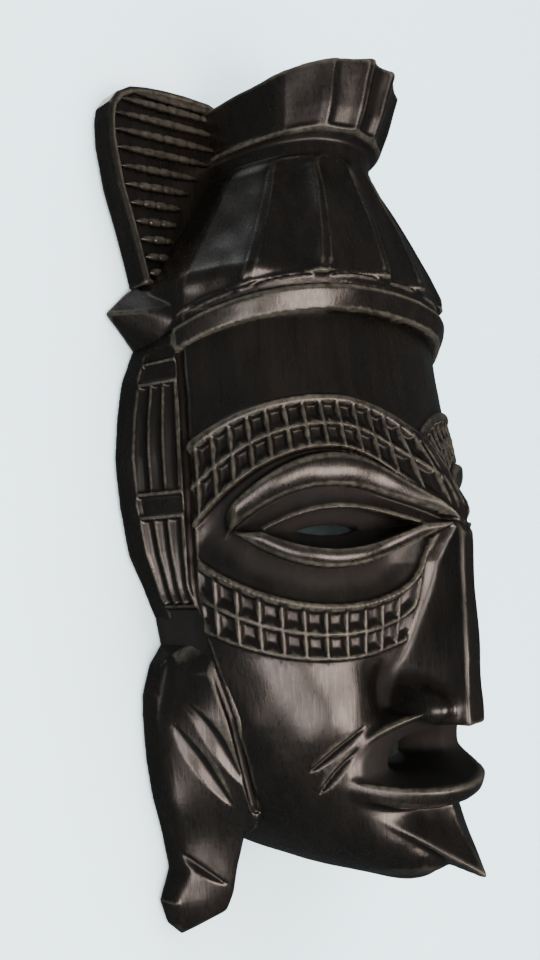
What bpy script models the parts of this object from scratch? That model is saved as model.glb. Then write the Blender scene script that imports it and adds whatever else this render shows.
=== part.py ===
"""Carved wooden wall mask, cut from one half log, with the hanger let into its back.

Units are metres. The mask stands upright: +Z is up, the face looks towards -Y, and the flat
back lies on the plane y = 0. The origin is the point on that plane where the wall nail carries
the raised ring. The levels of the carving are counted from EYE_DATUM, just above the eyes.
"""
import itertools
import math

import bmesh
import bpy
import numpy as np

MM = 0.001

# Overall sizes. The carving's outline below is drawn for these and stretches with them.
MASK_HEIGHT = 381 * MM
MASK_WIDTH = 200 * MM
MASK_DEPTH = 108 * MM
DRAWN_HEIGHT = 381 * MM
DRAWN_WIDTH = 200 * MM
DRAWN_DEPTH = 108 * MM

# Hollow back: wood left at the side rim, and in front of the hollow.
RIM_WALL = 15 * MM
FRONT_WALL = 19 * MM
HOLLOW_LEVELS = (-150, -140, -125, -100, -70, -40, -10, 20, 42, 58)
HOLLOW_END_SHARE = 0.82

# Carved relief heights, above the form they stand on.
BROW_RISE = 4 * MM
CHEEK_BAND_RISE = 2.5 * MM
LID_RISE = 4 * MM
HEADBAND_RISE = 5 * MM
HEADBAND_HEIGHT = 10 * MM
HEADBAND_LEVEL = 67 * MM
HEADBAND_DROP = 14.3 * MM
HEADBAND_DEPTH = 24 * MM
FLUTE_DEPTH = 3.2 * MM
FIN_THICKNESS = 12 * MM
LOCK_THICKNESS = 20 * MM

# Hanger: a steel ring in the curled top of a strap, held by two screws in a chiselled recess.
RING_WIRE = 2.0 * MM
RING_INNER_WIDTH = 17 * MM
RING_INNER_HEIGHT = 14 * MM
STRAP_THICKNESS = 1.0 * MM
STRAP_WIDTH = 12 * MM
SCREW_SHANK = 2.8 * MM
SCREW_HEAD = 6.2 * MM
SCREW_HEAD_HEIGHT = 1.7 * MM
SCREW_LENGTH = 13 * MM
GAP = 0.3 * MM
RING_PLAY = 1.0 * MM
RECESS_MARGIN = 3.0 * MM
BACK_CLEARANCE = 1.5 * MM
RING_CORNER = 3 * MM
PILOT_END_ROOM = 0.6 * MM

# Level of the ring's hinge axis above the eye datum.
HINGE_LEVEL = 104 * MM
EYE_DATUM = -(HINGE_LEVEL + RING_INNER_HEIGHT)

# Everything that ends at the flat back is first made too long, then planed off. Each form
# gets its own length, so that no two of their ends lie in one plane.
SPARE = 4 * MM
SPARE_STEP = 0.15 * MM
spare_count = itertools.count()
SECTION_POWER = 2.4

SX = MASK_WIDTH / DRAWN_WIDTH
SY = MASK_DEPTH / DRAWN_DEPTH
SZ = MASK_HEIGHT / DRAWN_HEIGHT

# Half outlines of the block: level, half width at the back, depth on the centre line, in mm.
FACE_STATIONS = (
    (-175, 14, 52), (-172, 26, 62), (-167, 38, 69), (-158, 49, 74), (-145, 60, 77),
    (-128, 68, 79), (-108, 75, 79), (-88, 80, 80), (-65, 84, 83), (-45, 86, 86),
    (-25, 86.5, 88), (-5, 86.5, 87), (12, 86, 84), (30, 86, 80), (48, 85, 78), (66, 84, 77),
)
CAP_STATIONS = (
    (60, 80, 74), (72, 86, 84), (80, 84, 88), (92, 74, 84), (106, 64, 80), (120, 54, 76),
    (132, 46, 71), (141, 39, 67), (150, 35, 65),
)
KNOT_STATIONS = (
    (138, 36, 66), (149, 37, 70), (151, 38, 73), (160, 41, 77), (170, 44, 81), (178, 46, 84),
    (184, 40, 70), (190, 26, 48),
)


def next_spare():
    """How far behind the back plane the next form starts."""
    return SPARE + SPARE_STEP * next(spare_count)


def level(height):
    """World height of a level that is counted from the eye datum."""
    return EYE_DATUM + height * SZ


def station_at(stations, height):
    """Half width and depth of a form at a level, in metres."""
    levels = [row[0] * MM for row in stations]
    half_width = np.interp(height, levels, [row[1] * MM * SX for row in stations])
    depth = np.interp(height, levels, [row[2] * MM * SY for row in stations])
    return float(half_width), float(depth)


def form_point(stations, angle, height, offset=0.0):
    """A point of a form's surface at an angle from its centre line, pushed out by an offset."""
    half_width, depth = station_at(stations, height)
    turn = math.radians(angle)
    reach = (abs(math.sin(turn)) ** SECTION_POWER + abs(math.cos(turn)) ** SECTION_POWER)
    reach = reach ** (-1 / SECTION_POWER)
    x = (half_width + offset) * reach * math.sin(turn)
    y = -(depth + offset) * reach * math.cos(turn)
    return (x, y, level(height))


def new_material(name, color, roughness, metallic=0.0):
    """A plain material in a sub-part's colour."""
    material = bpy.data.materials.new(name)
    material.use_nodes = True
    shader = material.node_tree.nodes["Principled BSDF"]
    shader.inputs["Base Color"].default_value = (*color, 1.0)
    shader.inputs["Roughness"].default_value = roughness
    shader.inputs["Metallic"].default_value = metallic
    return material


def new_object(name, points, faces, material=None):
    """A mesh object from points and faces, with its faces turned outwards."""
    mesh = bpy.data.meshes.new(name)
    mesh.from_pydata([tuple(point) for point in points], [], faces)
    work = bmesh.new()
    work.from_mesh(mesh)
    bmesh.ops.triangulate(work, faces=work.faces)
    bmesh.ops.recalc_face_normals(work, faces=work.faces)
    work.to_mesh(mesh)
    work.free()
    obj = bpy.data.objects.new(name, mesh)
    bpy.context.scene.collection.objects.link(obj)
    if material is not None:
        mesh.materials.append(material)
    return obj


def loft(name, rings, material=None):
    """A closed solid through rings of equally many points, capped at both ends."""
    count = len(rings[0])
    points = [point for ring in rings for point in ring]
    faces = []
    for row in range(len(rings) - 1):
        for column in range(count):
            ahead = (column + 1) % count
            low = row * count
            high = low + count
            faces.append((low + column, low + ahead, high + ahead, high + column))
    last = (len(rings) - 1) * count
    faces.append(tuple(reversed(range(count))))
    faces.append(tuple(last + column for column in range(count)))
    return new_object(name, points, faces, material)


def hull(name, points):
    """The convex solid around a few points."""
    mesh = bpy.data.meshes.new(name)
    work = bmesh.new()
    for point in points:
        work.verts.new(point)
    result = bmesh.ops.convex_hull(work, input=work.verts)
    spare = [item for item in result["geom_interior"] if isinstance(item, bmesh.types.BMVert)]
    bmesh.ops.delete(work, geom=spare, context="VERTS")
    bmesh.ops.recalc_face_normals(work, faces=work.faces)
    work.to_mesh(mesh)
    work.free()
    obj = bpy.data.objects.new(name, mesh)
    bpy.context.scene.collection.objects.link(obj)
    return obj


def combine(target, tool, operation):
    """Join a tool to the target, or cut it away, by an exact Boolean; the tool is a guide."""
    modifier = target.modifiers.new(tool.name, "BOOLEAN")
    modifier.operation = operation
    modifier.solver = "EXACT"
    modifier.object = tool
    tool.hide_render = True
    tool.display_type = "WIRE"


def weld(target):
    """Merge the points that a cut leaves within a hair of each other."""
    modifier = target.modifiers.new("weld", "WELD")
    modifier.merge_threshold = 0.02 * MM


def mirrored(points):
    """The same points on the other side of the centre line."""
    return [(-point[0], point[1], point[2]) for point in points]


# The block: face, hair cap and topknot.

def half_round_ring(stations, height, spare, fluting=0.0, step=5):
    """Outline of a form at one level, closed behind the back plane."""
    ring = []
    for angle in range(-90, 91, step):
        valley = 0.5 + 0.5 * math.cos(math.radians(18 * angle))
        ring.append(form_point(stations, angle, height, -fluting * valley))
    half_width, depth = station_at(stations, height)
    top = level(height)
    return ring + [(half_width, spare, top), (-half_width, spare, top)]


def build_block(material):
    """The face form, with the hair cap and the topknot joined on."""
    forms = []
    for name, stations, fluting, dress in (("carved_mask", FACE_STATIONS, 0.0, material),
                                           ("cap_form", CAP_STATIONS, FLUTE_DEPTH, None),
                                           ("topknot_form", KNOT_STATIONS, FLUTE_DEPTH, None)):
        spare = next_spare()
        rings = [half_round_ring(stations, row[0] * MM, spare, fluting) for row in stations]
        forms.append(loft(name, rings, dress))
    face, cap, knot = forms
    combine(face, cap, "UNION")
    combine(face, knot, "UNION")
    return face


# Reliefs that follow the face form: each is a thick strip between two level curves.

def strip(name, stations, side, angles, lower, upper, rise, sink):
    """A raised strip from one angle to another, between a lower and an upper curve."""
    rings = []
    for angle in angles:
        low = lower(angle) * MM
        high = upper(angle) * MM
        lift = rise(angle)
        turned = side * angle
        rings.append([
            form_point(stations, turned, low, -sink), form_point(stations, turned, low, lift),
            form_point(stations, turned, (low + high) / 2, lift),
            form_point(stations, turned, high, lift), form_point(stations, turned, high, -sink),
        ])
    return loft(name, rings)


# Columns of the strips, in degrees from the centre line; they keep off the form's own columns.
BROW_ANGLES = np.linspace(1.2, 70.3, 14)
CHEEK_ANGLES = np.linspace(9.3, 67.6, 10)
LID_ANGLES = np.linspace(6.7, 56.4, 9)


def brow_lower(angle):
    """Lower edge of the brow band, dropping to the nose in the middle."""
    away = angle - 32
    return 3 - (0.0212 if away > 0 else 0.033) * away * away


def brow_upper(angle):
    """Upper edge of the brow band."""
    away = angle - 29
    return 24.5 - (0.0103 if away > 0 else 0.017) * away * away


def bridge_flare(angle):
    """How far the brow stands out: more towards the bridge of the nose."""
    return BROW_RISE + 15 * MM * SY * math.exp(-(angle / 13) ** 2)


def cheek_lower(angle):
    """Lower edge of the band under the eye, level on both sides of its middle."""
    return -81 + 0.0105 * (angle - 30) ** 2


def cheek_upper(angle):
    """Upper edge of the band under the eye."""
    return -59.5 + 0.0145 * (angle - 30) ** 2


def lid_lower(angle):
    """Lower edge of the eye's rim."""
    return -45.5 + 0.018 * (angle - 31) ** 2


def lid_upper(angle):
    """Upper edge of the eye's lid."""
    away = angle - 30
    return -2 - (0.031 if away > 0 else 0.030) * away * away


def build_face_reliefs(mask):
    """Brow bands, lid rings, cheek bands, nose, lips and chin."""
    for side, word in ((-1, "right"), (1, "left")):
        brow = strip(f"brow_{word}_form", FACE_STATIONS, side, BROW_ANGLES,
                     brow_lower, brow_upper, bridge_flare, 8 * MM)
        cheek = strip(f"cheek_{word}_form", FACE_STATIONS, side, CHEEK_ANGLES,
                      cheek_lower, cheek_upper, lambda angle: CHEEK_BAND_RISE, 6 * MM)
        lid = strip(f"lid_{word}_form", FACE_STATIONS, side, LID_ANGLES,
                    lid_lower, lid_upper, lambda angle: LID_RISE, 6 * MM)
        for relief in (brow, cheek, lid):
            combine(mask, relief, "UNION")


NOSE_STATIONS = (
    # level, half width of the ridge, half width at the face, depth of the ridge, of the face
    (-112, 6.5, 21, 105, 66), (-100, 6.5, 22, 106, 66), (-85, 6, 18, 107, 68),
    (-60, 5.5, 13, 107.5, 72), (-34, 5, 10, 108, 76), (-12, 4, 9, 105.5, 76), (0, 3, 8, 100, 76),
)


def build_nose(mask):
    """A long straight nose with a narrow flat ridge."""
    rings = []
    for height, ridge, base, front, back in NOSE_STATIONS:
        top = level(height * MM)
        rings.append([(-base * MM * SX, -back * MM * SY, top),
                      (-ridge * MM * SX * 1.6, -(front - 5) * MM * SY, top),
                      (-ridge * MM * SX, -front * MM * SY, top),
                      (ridge * MM * SX, -front * MM * SY, top),
                      (ridge * MM * SX * 1.6, -(front - 5) * MM * SY, top),
                      (base * MM * SX, -back * MM * SY, top)])
    combine(mask, loft("nose_form", rings), "UNION")


MOUTH_LEVEL = -126 * MM
MOUTH_HALF_WIDTH = 42 * MM
MOUTH_HALF_HEIGHT = 19 * MM
LIP_WIDTH = 7 * MM


def oval_ring(half_width, half_height, depth_at, count=24):
    """An oval round the mouth, each point at its own depth."""
    ring = []
    for index in range(count):
        turn = 2 * math.pi * index / count
        x = half_width * SX * math.cos(turn)
        z = level(MOUTH_LEVEL) + half_height * SZ * math.sin(turn)
        ring.append((x, -depth_at(x), z))
    return ring


def lip_front(x):
    """Depth of the lips: furthest out in the middle, back at the corners."""
    share = min(1.0, abs(x) / (MOUTH_HALF_WIDTH * SX))
    return (104 - 36 * share ** 1.8) * MM * SY


def build_mouth(mask):
    """Lips that stand out as an oval cup, and the opening through them into the hollow."""
    inner = 56 * MM * SY
    lips = loft("lips_form", [
        oval_ring(MOUTH_HALF_WIDTH + 1 * MM, MOUTH_HALF_HEIGHT, lambda x: inner),
        oval_ring(MOUTH_HALF_WIDTH, MOUTH_HALF_HEIGHT, lambda x: lip_front(x) - 4 * MM),
        oval_ring(MOUTH_HALF_WIDTH - 3 * MM, MOUTH_HALF_HEIGHT - 3 * MM, lip_front),
    ])
    combine(mask, lips, "UNION")
    opening_width = MOUTH_HALF_WIDTH - LIP_WIDTH
    opening_height = MOUTH_HALF_HEIGHT - LIP_WIDTH
    opening = loft("mouth_cutter", [
        oval_ring(opening_width * 0.55, opening_height * 0.8, lambda x: 30 * MM * SY),
        oval_ring(opening_width * 0.8, opening_height, lambda x: 60 * MM * SY),
        oval_ring(opening_width, opening_height, lambda x: lip_front(x) - 2 * MM),
        oval_ring(opening_width, opening_height, lambda x: lip_front(x) + 9 * MM),
    ])
    return opening


def build_chin(mask):
    """A pointed blade below the lips."""
    points = []
    for x, y, z in ((42, -60, -134), (38, -50, -146), (0, -98, -144), (0, -103, -171),
                    (3, -100, -172), (0, -60, -172), (12, -66, -170)):
        points.append((x * MM * SX, y * MM * SY, level(z * MM)))
    combine(mask, hull("chin_form", points + mirrored(points)), "UNION")


def build_headband(mask):
    """The rolled band over the forehead, arched from side to side."""
    rings = []
    for angle in range(-74, 75, 4):
        centre = HEADBAND_LEVEL - HEADBAND_DROP * (abs(angle) / 70) ** 2.6
        half = HEADBAND_HEIGHT / 2
        rings.append([form_point(FACE_STATIONS, angle, centre - half, -8 * MM),
                      form_point(FACE_STATIONS, angle, centre - half, HEADBAND_RISE),
                      form_point(FACE_STATIONS, angle, centre, HEADBAND_RISE * 1.6),
                      form_point(FACE_STATIONS, angle, centre + half, HEADBAND_RISE),
                      form_point(FACE_STATIONS, angle, centre + half, -8 * MM)])
    combine(mask, loft("headband_form", rings), "UNION")


# Side pieces of the carving: ear boards, hanging locks, fins and the headband's tips.

EAR_STATIONS = ((-68, 73), (-52, 81.5), (-35, 88.5), (-15, 92.5), (5, 93.5), (22, 92), (38, 88.5),
                (54, 82.5))
LOCK_STATIONS = (
    # level, outer edge, inner edge
    (-191, 71.5, 66), (-184, 78, 60), (-174, 82.5, 59), (-163, 77.5, 58.5), (-148, 81, 56),
    (-146, 81.5, 50), (-134, 85, 50), (-110, 88, 50), (-94, 88.7, 52), (-80, 84.5, 55),
    (-66, 76, 60),
)
FIN_OUTLINE = ((-99.5, 140), (-100, 150), (-96, 160), (-88, 167), (-77, 171.5), (-62, 174),
               (-46, 175), (-34, 172), (-34, 140), (-50, 112), (-66, 78), (-80, 80), (-83, 86))
TIP_OUTLINE = ((-97, 67), (-84, 77), (-72, 79), (-72, 52), (-84, 51))


def build_ears(mask):
    """The boards beside the face, from the headband down to the locks."""
    for side, word in ((-1, "right"), (1, "left")):
        rings = []
        spare = next_spare()
        for height, outer in EAR_STATIONS:
            top = level(height * MM)
            ridge = min(82, outer - 4)
            section = ((outer, -7), (outer - 1.5, -9.5), (ridge, -31), (ridge - 12, -31))
            ring = [(side * x * MM * SX, y * MM * SY, top) for x, y in section]
            back = [(ring[-1][0], spare, top), (ring[0][0], spare, top)]
            rings.append(ring + back)
        combine(mask, loft(f"ear_{word}_form", rings), "UNION")


def build_locks(mask):
    """The locks of hair that hang beside the jaw."""
    for side, word in ((-1, "right"), (1, "left")):
        rings = []
        spare = next_spare()
        for height, outer, inner in LOCK_STATIONS:
            top = level(height * MM)
            front = LOCK_THICKNESS
            section = ((outer * SX * MM, spare), (outer * SX * MM, -front * 0.55),
                       ((outer - 4) * SX * MM, -front * 0.9), ((inner + 3) * SX * MM, -front),
                       (inner * SX * MM, -front * 0.8), (inner * SX * MM, spare))
            rings.append([(side * x, y, top) for x, y in section])
        combine(mask, loft(f"lock_{word}_form", rings), "UNION")


def slab_rings(outline, side, front):
    """Two rings that make a slab of an outline, from behind the back to its front face."""
    spare = next_spare()
    back = [(-side * x * MM * SX, spare, level(z * MM)) for x, z in outline]
    face = [(point[0], -front, point[2]) for point in back]
    return [back, face]


def build_fins(mask):
    """The ribbed fins beside the hair, and the headband's pointed ends below them."""
    for side, word in ((-1, "right"), (1, "left")):
        fin = loft(f"fin_{word}_form", slab_rings(FIN_OUTLINE, side, FIN_THICKNESS))
        tip = loft(f"band_tip_{word}_form", slab_rings(TIP_OUTLINE, side, HEADBAND_DEPTH))
        combine(mask, fin, "UNION")
        combine(mask, tip, "UNION")


# Cuts: hollow back, eyes, mouth and the hanger's recess.

EYE_HALF_ANGLE = 21.5
EYE_CENTRE_ANGLE = 30.5
EYE_LEVEL = -29.5 * MM
EYE_HALF_HEIGHT = 8 * MM
EYE_BLUNTNESS = 0.35


def build_cuts(mask, mouth_opening):
    """Cut the hollow, the eye slits and the mouth, then plane the back flat."""
    rings = []
    for height in HOLLOW_LEVELS:
        half_width, depth = station_at(FACE_STATIONS, height * MM)
        end = HOLLOW_END_SHARE if height in (HOLLOW_LEVELS[0], HOLLOW_LEVELS[-1]) else 1.0
        wide = (half_width - RIM_WALL) * end
        deep = (depth - FRONT_WALL) * end
        top = level(height * MM)
        ring = []
        for angle in range(-90, 91, 10):
            turn = math.radians(angle)
            ring.append((wide * math.sin(turn), -deep * math.cos(turn), top))
        rings.append(ring + [(wide, 3 * SPARE, top), (-wide, 3 * SPARE, top)])
    combine(mask, loft("hollow_cutter", rings), "DIFFERENCE")
    for side, word in ((-1, "right"), (1, "left")):
        slit = []
        for offset, share in ((-34 * MM, 0.9), (12 * MM, 1.0)):
            ring = []
            for index in range(20):
                turn = 2 * math.pi * index / 20
                angle = EYE_CENTRE_ANGLE + EYE_HALF_ANGLE * math.cos(turn) * share
                lift = math.sin(turn) * abs(math.sin(turn)) ** EYE_BLUNTNESS
                height = EYE_LEVEL + EYE_HALF_HEIGHT * lift * share
                ring.append(form_point(FACE_STATIONS, side * angle, height, offset))
            slit.append(ring)
        combine(mask, loft(f"eye_{word}_cutter", slit), "DIFFERENCE")
    combine(mask, mouth_opening, "DIFFERENCE")
    reach = MASK_WIDTH
    plane = [(sx * reach, y, sz * MASK_HEIGHT) for sx in (-1, 1) for y in (0.0, 8 * SPARE)
             for sz in (-1.2, 1)]
    combine(mask, hull("back_plane_cutter", plane), "DIFFERENCE")
    weld(mask)


# Hanger hardware. Its heights are counted from the hinge axis.

KNUCKLE_RADIUS = RING_WIRE / 2 + GAP + STRAP_THICKNESS
AXIS_DEPTH = BACK_CLEARANCE + KNUCKLE_RADIUS
RECESS_DEPTH = AXIS_DEPTH + KNUCKLE_RADIUS + GAP
AXIS_LEVEL = -RING_INNER_HEIGHT
UPPER_SCREW_DROP = RING_WIRE / 2 + RING_INNER_HEIGHT / 2
LOWER_SCREW_DROP = RING_INNER_HEIGHT + RING_WIRE * 1.5 + RING_PLAY + SCREW_HEAD / 2
STRAP_LENGTH = LOWER_SCREW_DROP + SCREW_HEAD / 2 + RING_PLAY
STRAP_BACK = -(AXIS_DEPTH + KNUCKLE_RADIUS)
STRAP_FACE = STRAP_BACK + STRAP_THICKNESS


def box(name, low, high):
    """A box between two corners."""
    corners = [(x, y, z) for x in (low[0], high[0]) for y in (low[1], high[1])
               for z in (low[2], high[2])]
    return hull(name, corners)


def turned(name, profile, centre, sides, material=None):
    """A solid turned about the Y direction through a centre, from (radius, y) pairs."""
    rings = []
    for radius, y in profile:
        ring = []
        for index in range(sides):
            turn = 2 * math.pi * index / sides
            ring.append((centre[0] + radius * math.cos(turn), y,
                         centre[1] + radius * math.sin(turn)))
        rings.append(ring)
    return loft(name, rings, material)


def build_recess(mask):
    """The chiselled recess for the hanger, with the screws' pilot holes."""
    half = RING_INNER_WIDTH / 2 + RING_WIRE + RECESS_MARGIN
    top = AXIS_LEVEL + RING_INNER_HEIGHT + RING_WIRE * 1.5 + RECESS_MARGIN
    bottom = AXIS_LEVEL - STRAP_LENGTH - RECESS_MARGIN
    recess = box("recess_cutter", (-half, -RECESS_DEPTH, bottom), (half, 3 * SPARE, top))
    combine(mask, recess, "DIFFERENCE")
    for drop, word in ((UPPER_SCREW_DROP, "upper"), (LOWER_SCREW_DROP, "lower")):
        radius = SCREW_SHANK / 2 + GAP
        end = STRAP_FACE - SCREW_LENGTH - PILOT_END_ROOM
        pilot = turned(f"pilot_{word}_cutter", ((radius, end), (radius, 3 * SPARE)),
                       (0.0, AXIS_LEVEL - drop), 12)
        combine(mask, pilot, "DIFFERENCE")


def build_strap(material):
    """One steel strip, flat on the recess floor and curled round the ring's bar at its top."""
    outer = KNUCKLE_RADIUS
    inner = KNUCKLE_RADIUS - STRAP_THICKNESS
    bottom = AXIS_LEVEL - STRAP_LENGTH
    outside = [(STRAP_BACK, bottom)]
    inside = [(STRAP_FACE, bottom)]
    for index in range(13):
        turn = math.radians(180 - 24 * index)
        outside.append((-AXIS_DEPTH + outer * math.cos(turn), AXIS_LEVEL + outer * math.sin(turn)))
        inside.append((-AXIS_DEPTH + inner * math.cos(turn), AXIS_LEVEL + inner * math.sin(turn)))
    outline = outside + inside[::-1]
    rings = [[(x, y, z) for y, z in outline] for x in (-STRAP_WIDTH / 2, STRAP_WIDTH / 2)]
    strap = loft("hanger_strap", rings, material)
    for drop, word in ((UPPER_SCREW_DROP, "upper"), (LOWER_SCREW_DROP, "lower")):
        radius = SCREW_SHANK / 2 + GAP
        hole = turned(f"strap_hole_{word}_cutter",
                      ((radius, STRAP_BACK - 2 * MM), (radius, STRAP_FACE + 0.8 * MM)),
                      (0.0, AXIS_LEVEL - drop), 16)
        combine(strap, hole, "DIFFERENCE")
    return strap


def build_ring(material):
    """A D-shaped wire ring hanging from its straight bar, with its origin on the hinge axis."""
    half = RING_INNER_WIDTH / 2 + RING_WIRE / 2
    drop = RING_INNER_HEIGHT + RING_WIRE
    corner = RING_CORNER
    path = []
    for index in range(5):
        turn = math.radians(90 - 22.5 * index)
        path.append((half - corner + corner * math.cos(turn), -corner + corner * math.sin(turn)))
    for index in range(13):
        turn = math.radians(15 * index)
        path.append((half * math.cos(turn), -drop + half * (1 - math.sin(turn))))
    for index in range(5):
        turn = math.radians(180 - 22.5 * index)
        path.append((-half + corner + corner * math.cos(turn), -corner + corner * math.sin(turn)))
    lowest = min(point[1] for point in path)
    stretch = (drop - corner) / (-lowest - corner)
    path = [(x, z if z > -corner else -corner + (z + corner) * stretch) for x, z in path]
    points = []
    faces = []
    sides = 8
    count = len(path)
    for index, (x, z) in enumerate(path):
        before = path[index - 1]
        after = path[(index + 1) % count]
        along = math.atan2(after[1] - before[1], after[0] - before[0])
        for side in range(sides):
            turn = 2 * math.pi * (side + 0.5) / sides
            out = RING_WIRE / 2 * math.cos(turn)
            points.append((x - out * math.sin(along), RING_WIRE / 2 * math.sin(turn),
                           z + out * math.cos(along)))
    for index in range(count):
        ahead = (index + 1) % count
        for side in range(sides):
            over = (side + 1) % sides
            faces.append((index * sides + side, ahead * sides + side,
                          ahead * sides + over, index * sides + over))
    ring = new_object("hanger_ring", points, faces, material)
    ring.location = (0.0, -AXIS_DEPTH, AXIS_LEVEL)
    return ring


def build_screw(name, drop, material):
    """A round-head wood screw: shank into the wood, head on the strap."""
    head = STRAP_FACE + GAP
    tip = STRAP_FACE - SCREW_LENGTH
    shank = SCREW_SHANK / 2
    profile = ((0.2 * MM, tip), (shank, tip + 4 * MM), (shank, head), (SCREW_HEAD / 2, head),
               (SCREW_HEAD / 2 * 0.86, head + SCREW_HEAD_HEIGHT * 0.55),
               (SCREW_HEAD / 2 * 0.45, head + SCREW_HEAD_HEIGHT))
    return turned(name, profile, (0.0, AXIS_LEVEL - drop), 16, material)


def main():
    for obj in list(bpy.data.objects):
        bpy.data.objects.remove(obj, do_unlink=True)
    wood = new_material("dark_stained_wood", (0.022, 0.017, 0.013), 0.32)
    steel = new_material("zinc_plated_steel", (0.62, 0.60, 0.55), 0.35, 1.0)
    mask = build_block(wood)
    build_headband(mask)
    build_fins(mask)
    build_ears(mask)
    build_locks(mask)
    build_face_reliefs(mask)
    build_nose(mask)
    opening = build_mouth(mask)
    build_chin(mask)
    build_cuts(mask, opening)
    build_recess(mask)
    build_strap(steel)
    build_ring(steel)
    build_screw("hanger_screw_upper", UPPER_SCREW_DROP, steel)
    build_screw("hanger_screw_lower", LOWER_SCREW_DROP, steel)


main()
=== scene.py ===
"""Looks of a carved wooden wall mask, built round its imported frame.

The carving is worked the way a carver works it: each part of the block starts as a plain form in
a grid of distances (below zero inside the wood), reliefs are raised on it, cuts are taken out of
it, and the surface that is left becomes the part's mesh. Lengths in the carving are millimetres,
with heights counted from a datum just above the eyes; meshes are in metres, in the frame's place.
"""
import logging
import math
from collections.abc import Callable, Sequence
from dataclasses import dataclass, field
from enum import Enum

import bmesh
import bpy
import numpy as np
from mathutils import Matrix, Vector

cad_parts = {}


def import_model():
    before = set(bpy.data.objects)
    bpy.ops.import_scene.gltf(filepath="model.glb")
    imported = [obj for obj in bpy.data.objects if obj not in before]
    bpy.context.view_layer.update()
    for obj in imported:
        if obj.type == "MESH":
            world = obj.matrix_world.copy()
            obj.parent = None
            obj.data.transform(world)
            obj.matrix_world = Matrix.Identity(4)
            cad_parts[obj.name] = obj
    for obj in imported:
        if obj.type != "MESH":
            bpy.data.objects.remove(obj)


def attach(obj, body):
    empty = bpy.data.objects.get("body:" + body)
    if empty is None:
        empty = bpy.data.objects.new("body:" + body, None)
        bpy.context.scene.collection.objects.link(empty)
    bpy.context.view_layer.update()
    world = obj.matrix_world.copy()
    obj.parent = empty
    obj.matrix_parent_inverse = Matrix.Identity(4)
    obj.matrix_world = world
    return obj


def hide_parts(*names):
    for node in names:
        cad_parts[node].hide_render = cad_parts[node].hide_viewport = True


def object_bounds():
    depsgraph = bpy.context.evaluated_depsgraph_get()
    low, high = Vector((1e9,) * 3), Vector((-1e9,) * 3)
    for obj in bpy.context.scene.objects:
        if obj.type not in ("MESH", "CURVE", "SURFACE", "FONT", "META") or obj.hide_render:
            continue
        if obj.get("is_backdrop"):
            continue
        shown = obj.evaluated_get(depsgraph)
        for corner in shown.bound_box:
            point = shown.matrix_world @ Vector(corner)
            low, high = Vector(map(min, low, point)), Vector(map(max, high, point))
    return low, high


LOG = logging.getLogger("carved_mask")
MM = 0.001
TOP_LEVEL = 190.0
Grid = np.ndarray
# Millimetres: grid steps of the large and the small forms, how far hand-cut surfaces waver, the
# room between the side pieces and the back plane, and the round groove beside the face.
FORM_STEP = 0.7
SIDE_STEP = 0.6
HAND_WAVER = 0.22
BACK_GAP = 0.2
GROOVE_RADIUS = 2.0
PAPER_ROUGHNESS = 0.9


class Side(Enum):
    """The wearer's right or left side of the mask."""

    RIGHT = -1
    LEFT = 1

    @property
    def word(self) -> str:
        """Name of the side, as piece names use it."""
        return self.name.lower()


def soft_step(value: Grid, low: float, high: float) -> Grid:
    """Rise smoothly from 0 to 1 between two values.

    Args:
        value: Numbers to grade.
        low: Where the rise starts.
        high: Where it ends; below low, the rise runs the other way.

    Returns:
        The graded numbers, from 0 to 1.
    """
    share = np.clip((value - low) / (high - low), 0.0, 1.0)
    return share * share * (3.0 - 2.0 * share)


def joined(first: Grid, second: Grid, blend: float = 0.0) -> Grid:
    """Join two shapes' distances, with a fillet of a given size."""
    if blend <= 0.0:
        return np.minimum(first, second)
    share = np.clip(0.5 + 0.5 * (second - first) / blend, 0.0, 1.0)
    return second * (1.0 - share) + first * share - blend * share * (1.0 - share)


def shared(first: Grid, second: Grid, blend: float = 0.0) -> Grid:
    """Keep what two shapes share, with a rounded edge of a given size."""
    return -joined(-first, -second, blend)


def eased(z: Grid, levels: Sequence[float], values: Sequence[float], reach: float) -> Grid:
    """Read a table of sizes by level, with its corners smoothed.

    Args:
        z: Levels to read at.
        levels: The table's levels, upwards.
        values: The size at each of them.
        reach: How far above and below each level the sizes are averaged.

    Returns:
        The size at each level of z.
    """
    shifts = np.linspace(-reach, reach, 9)
    weights = 1.0 - np.abs(shifts) / (1.25 * reach)
    total = sum(weight * np.interp(z.ravel() + shift, levels, values)
                for shift, weight in zip(shifts, weights))
    return (total / weights.sum()).reshape(z.shape)


def bump(value: Grid, centre: float, width: float) -> Grid:
    """A bell curve of height 1."""
    return np.exp(-(((value - centre) / width) ** 2))


def polygon_distance(x: Grid, z: Grid, outline: Sequence[tuple[float, float]]) -> Grid:
    """Signed distance to a closed outline, negative inside.

    Args:
        x: Coordinates across.
        z: Coordinates up, broadcast with x.
        outline: Corner points, in order.

    Returns:
        Distances on the broadcast grid.
    """
    shape = np.broadcast(x, z).shape
    best = np.full(shape, 1e9, dtype=np.float32)
    inside = np.zeros(shape, dtype=bool)
    for (ax, az), (bx, bz) in zip(outline, list(outline[1:]) + [outline[0]]):
        dx, dz = bx - ax, bz - az
        share = np.clip(((x - ax) * dx + (z - az) * dz) / (dx * dx + dz * dz), 0.0, 1.0)
        gap = np.hypot(x - ax - share * dx, z - az - share * dz)
        best = np.minimum(best, gap)
        if az != bz:
            crosses = (np.minimum(az, bz) <= z) & (z < np.maximum(az, bz))
            inside ^= crosses & (x < ax + (z - az) * dx / dz)
    return np.where(inside, -best, best)


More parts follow.
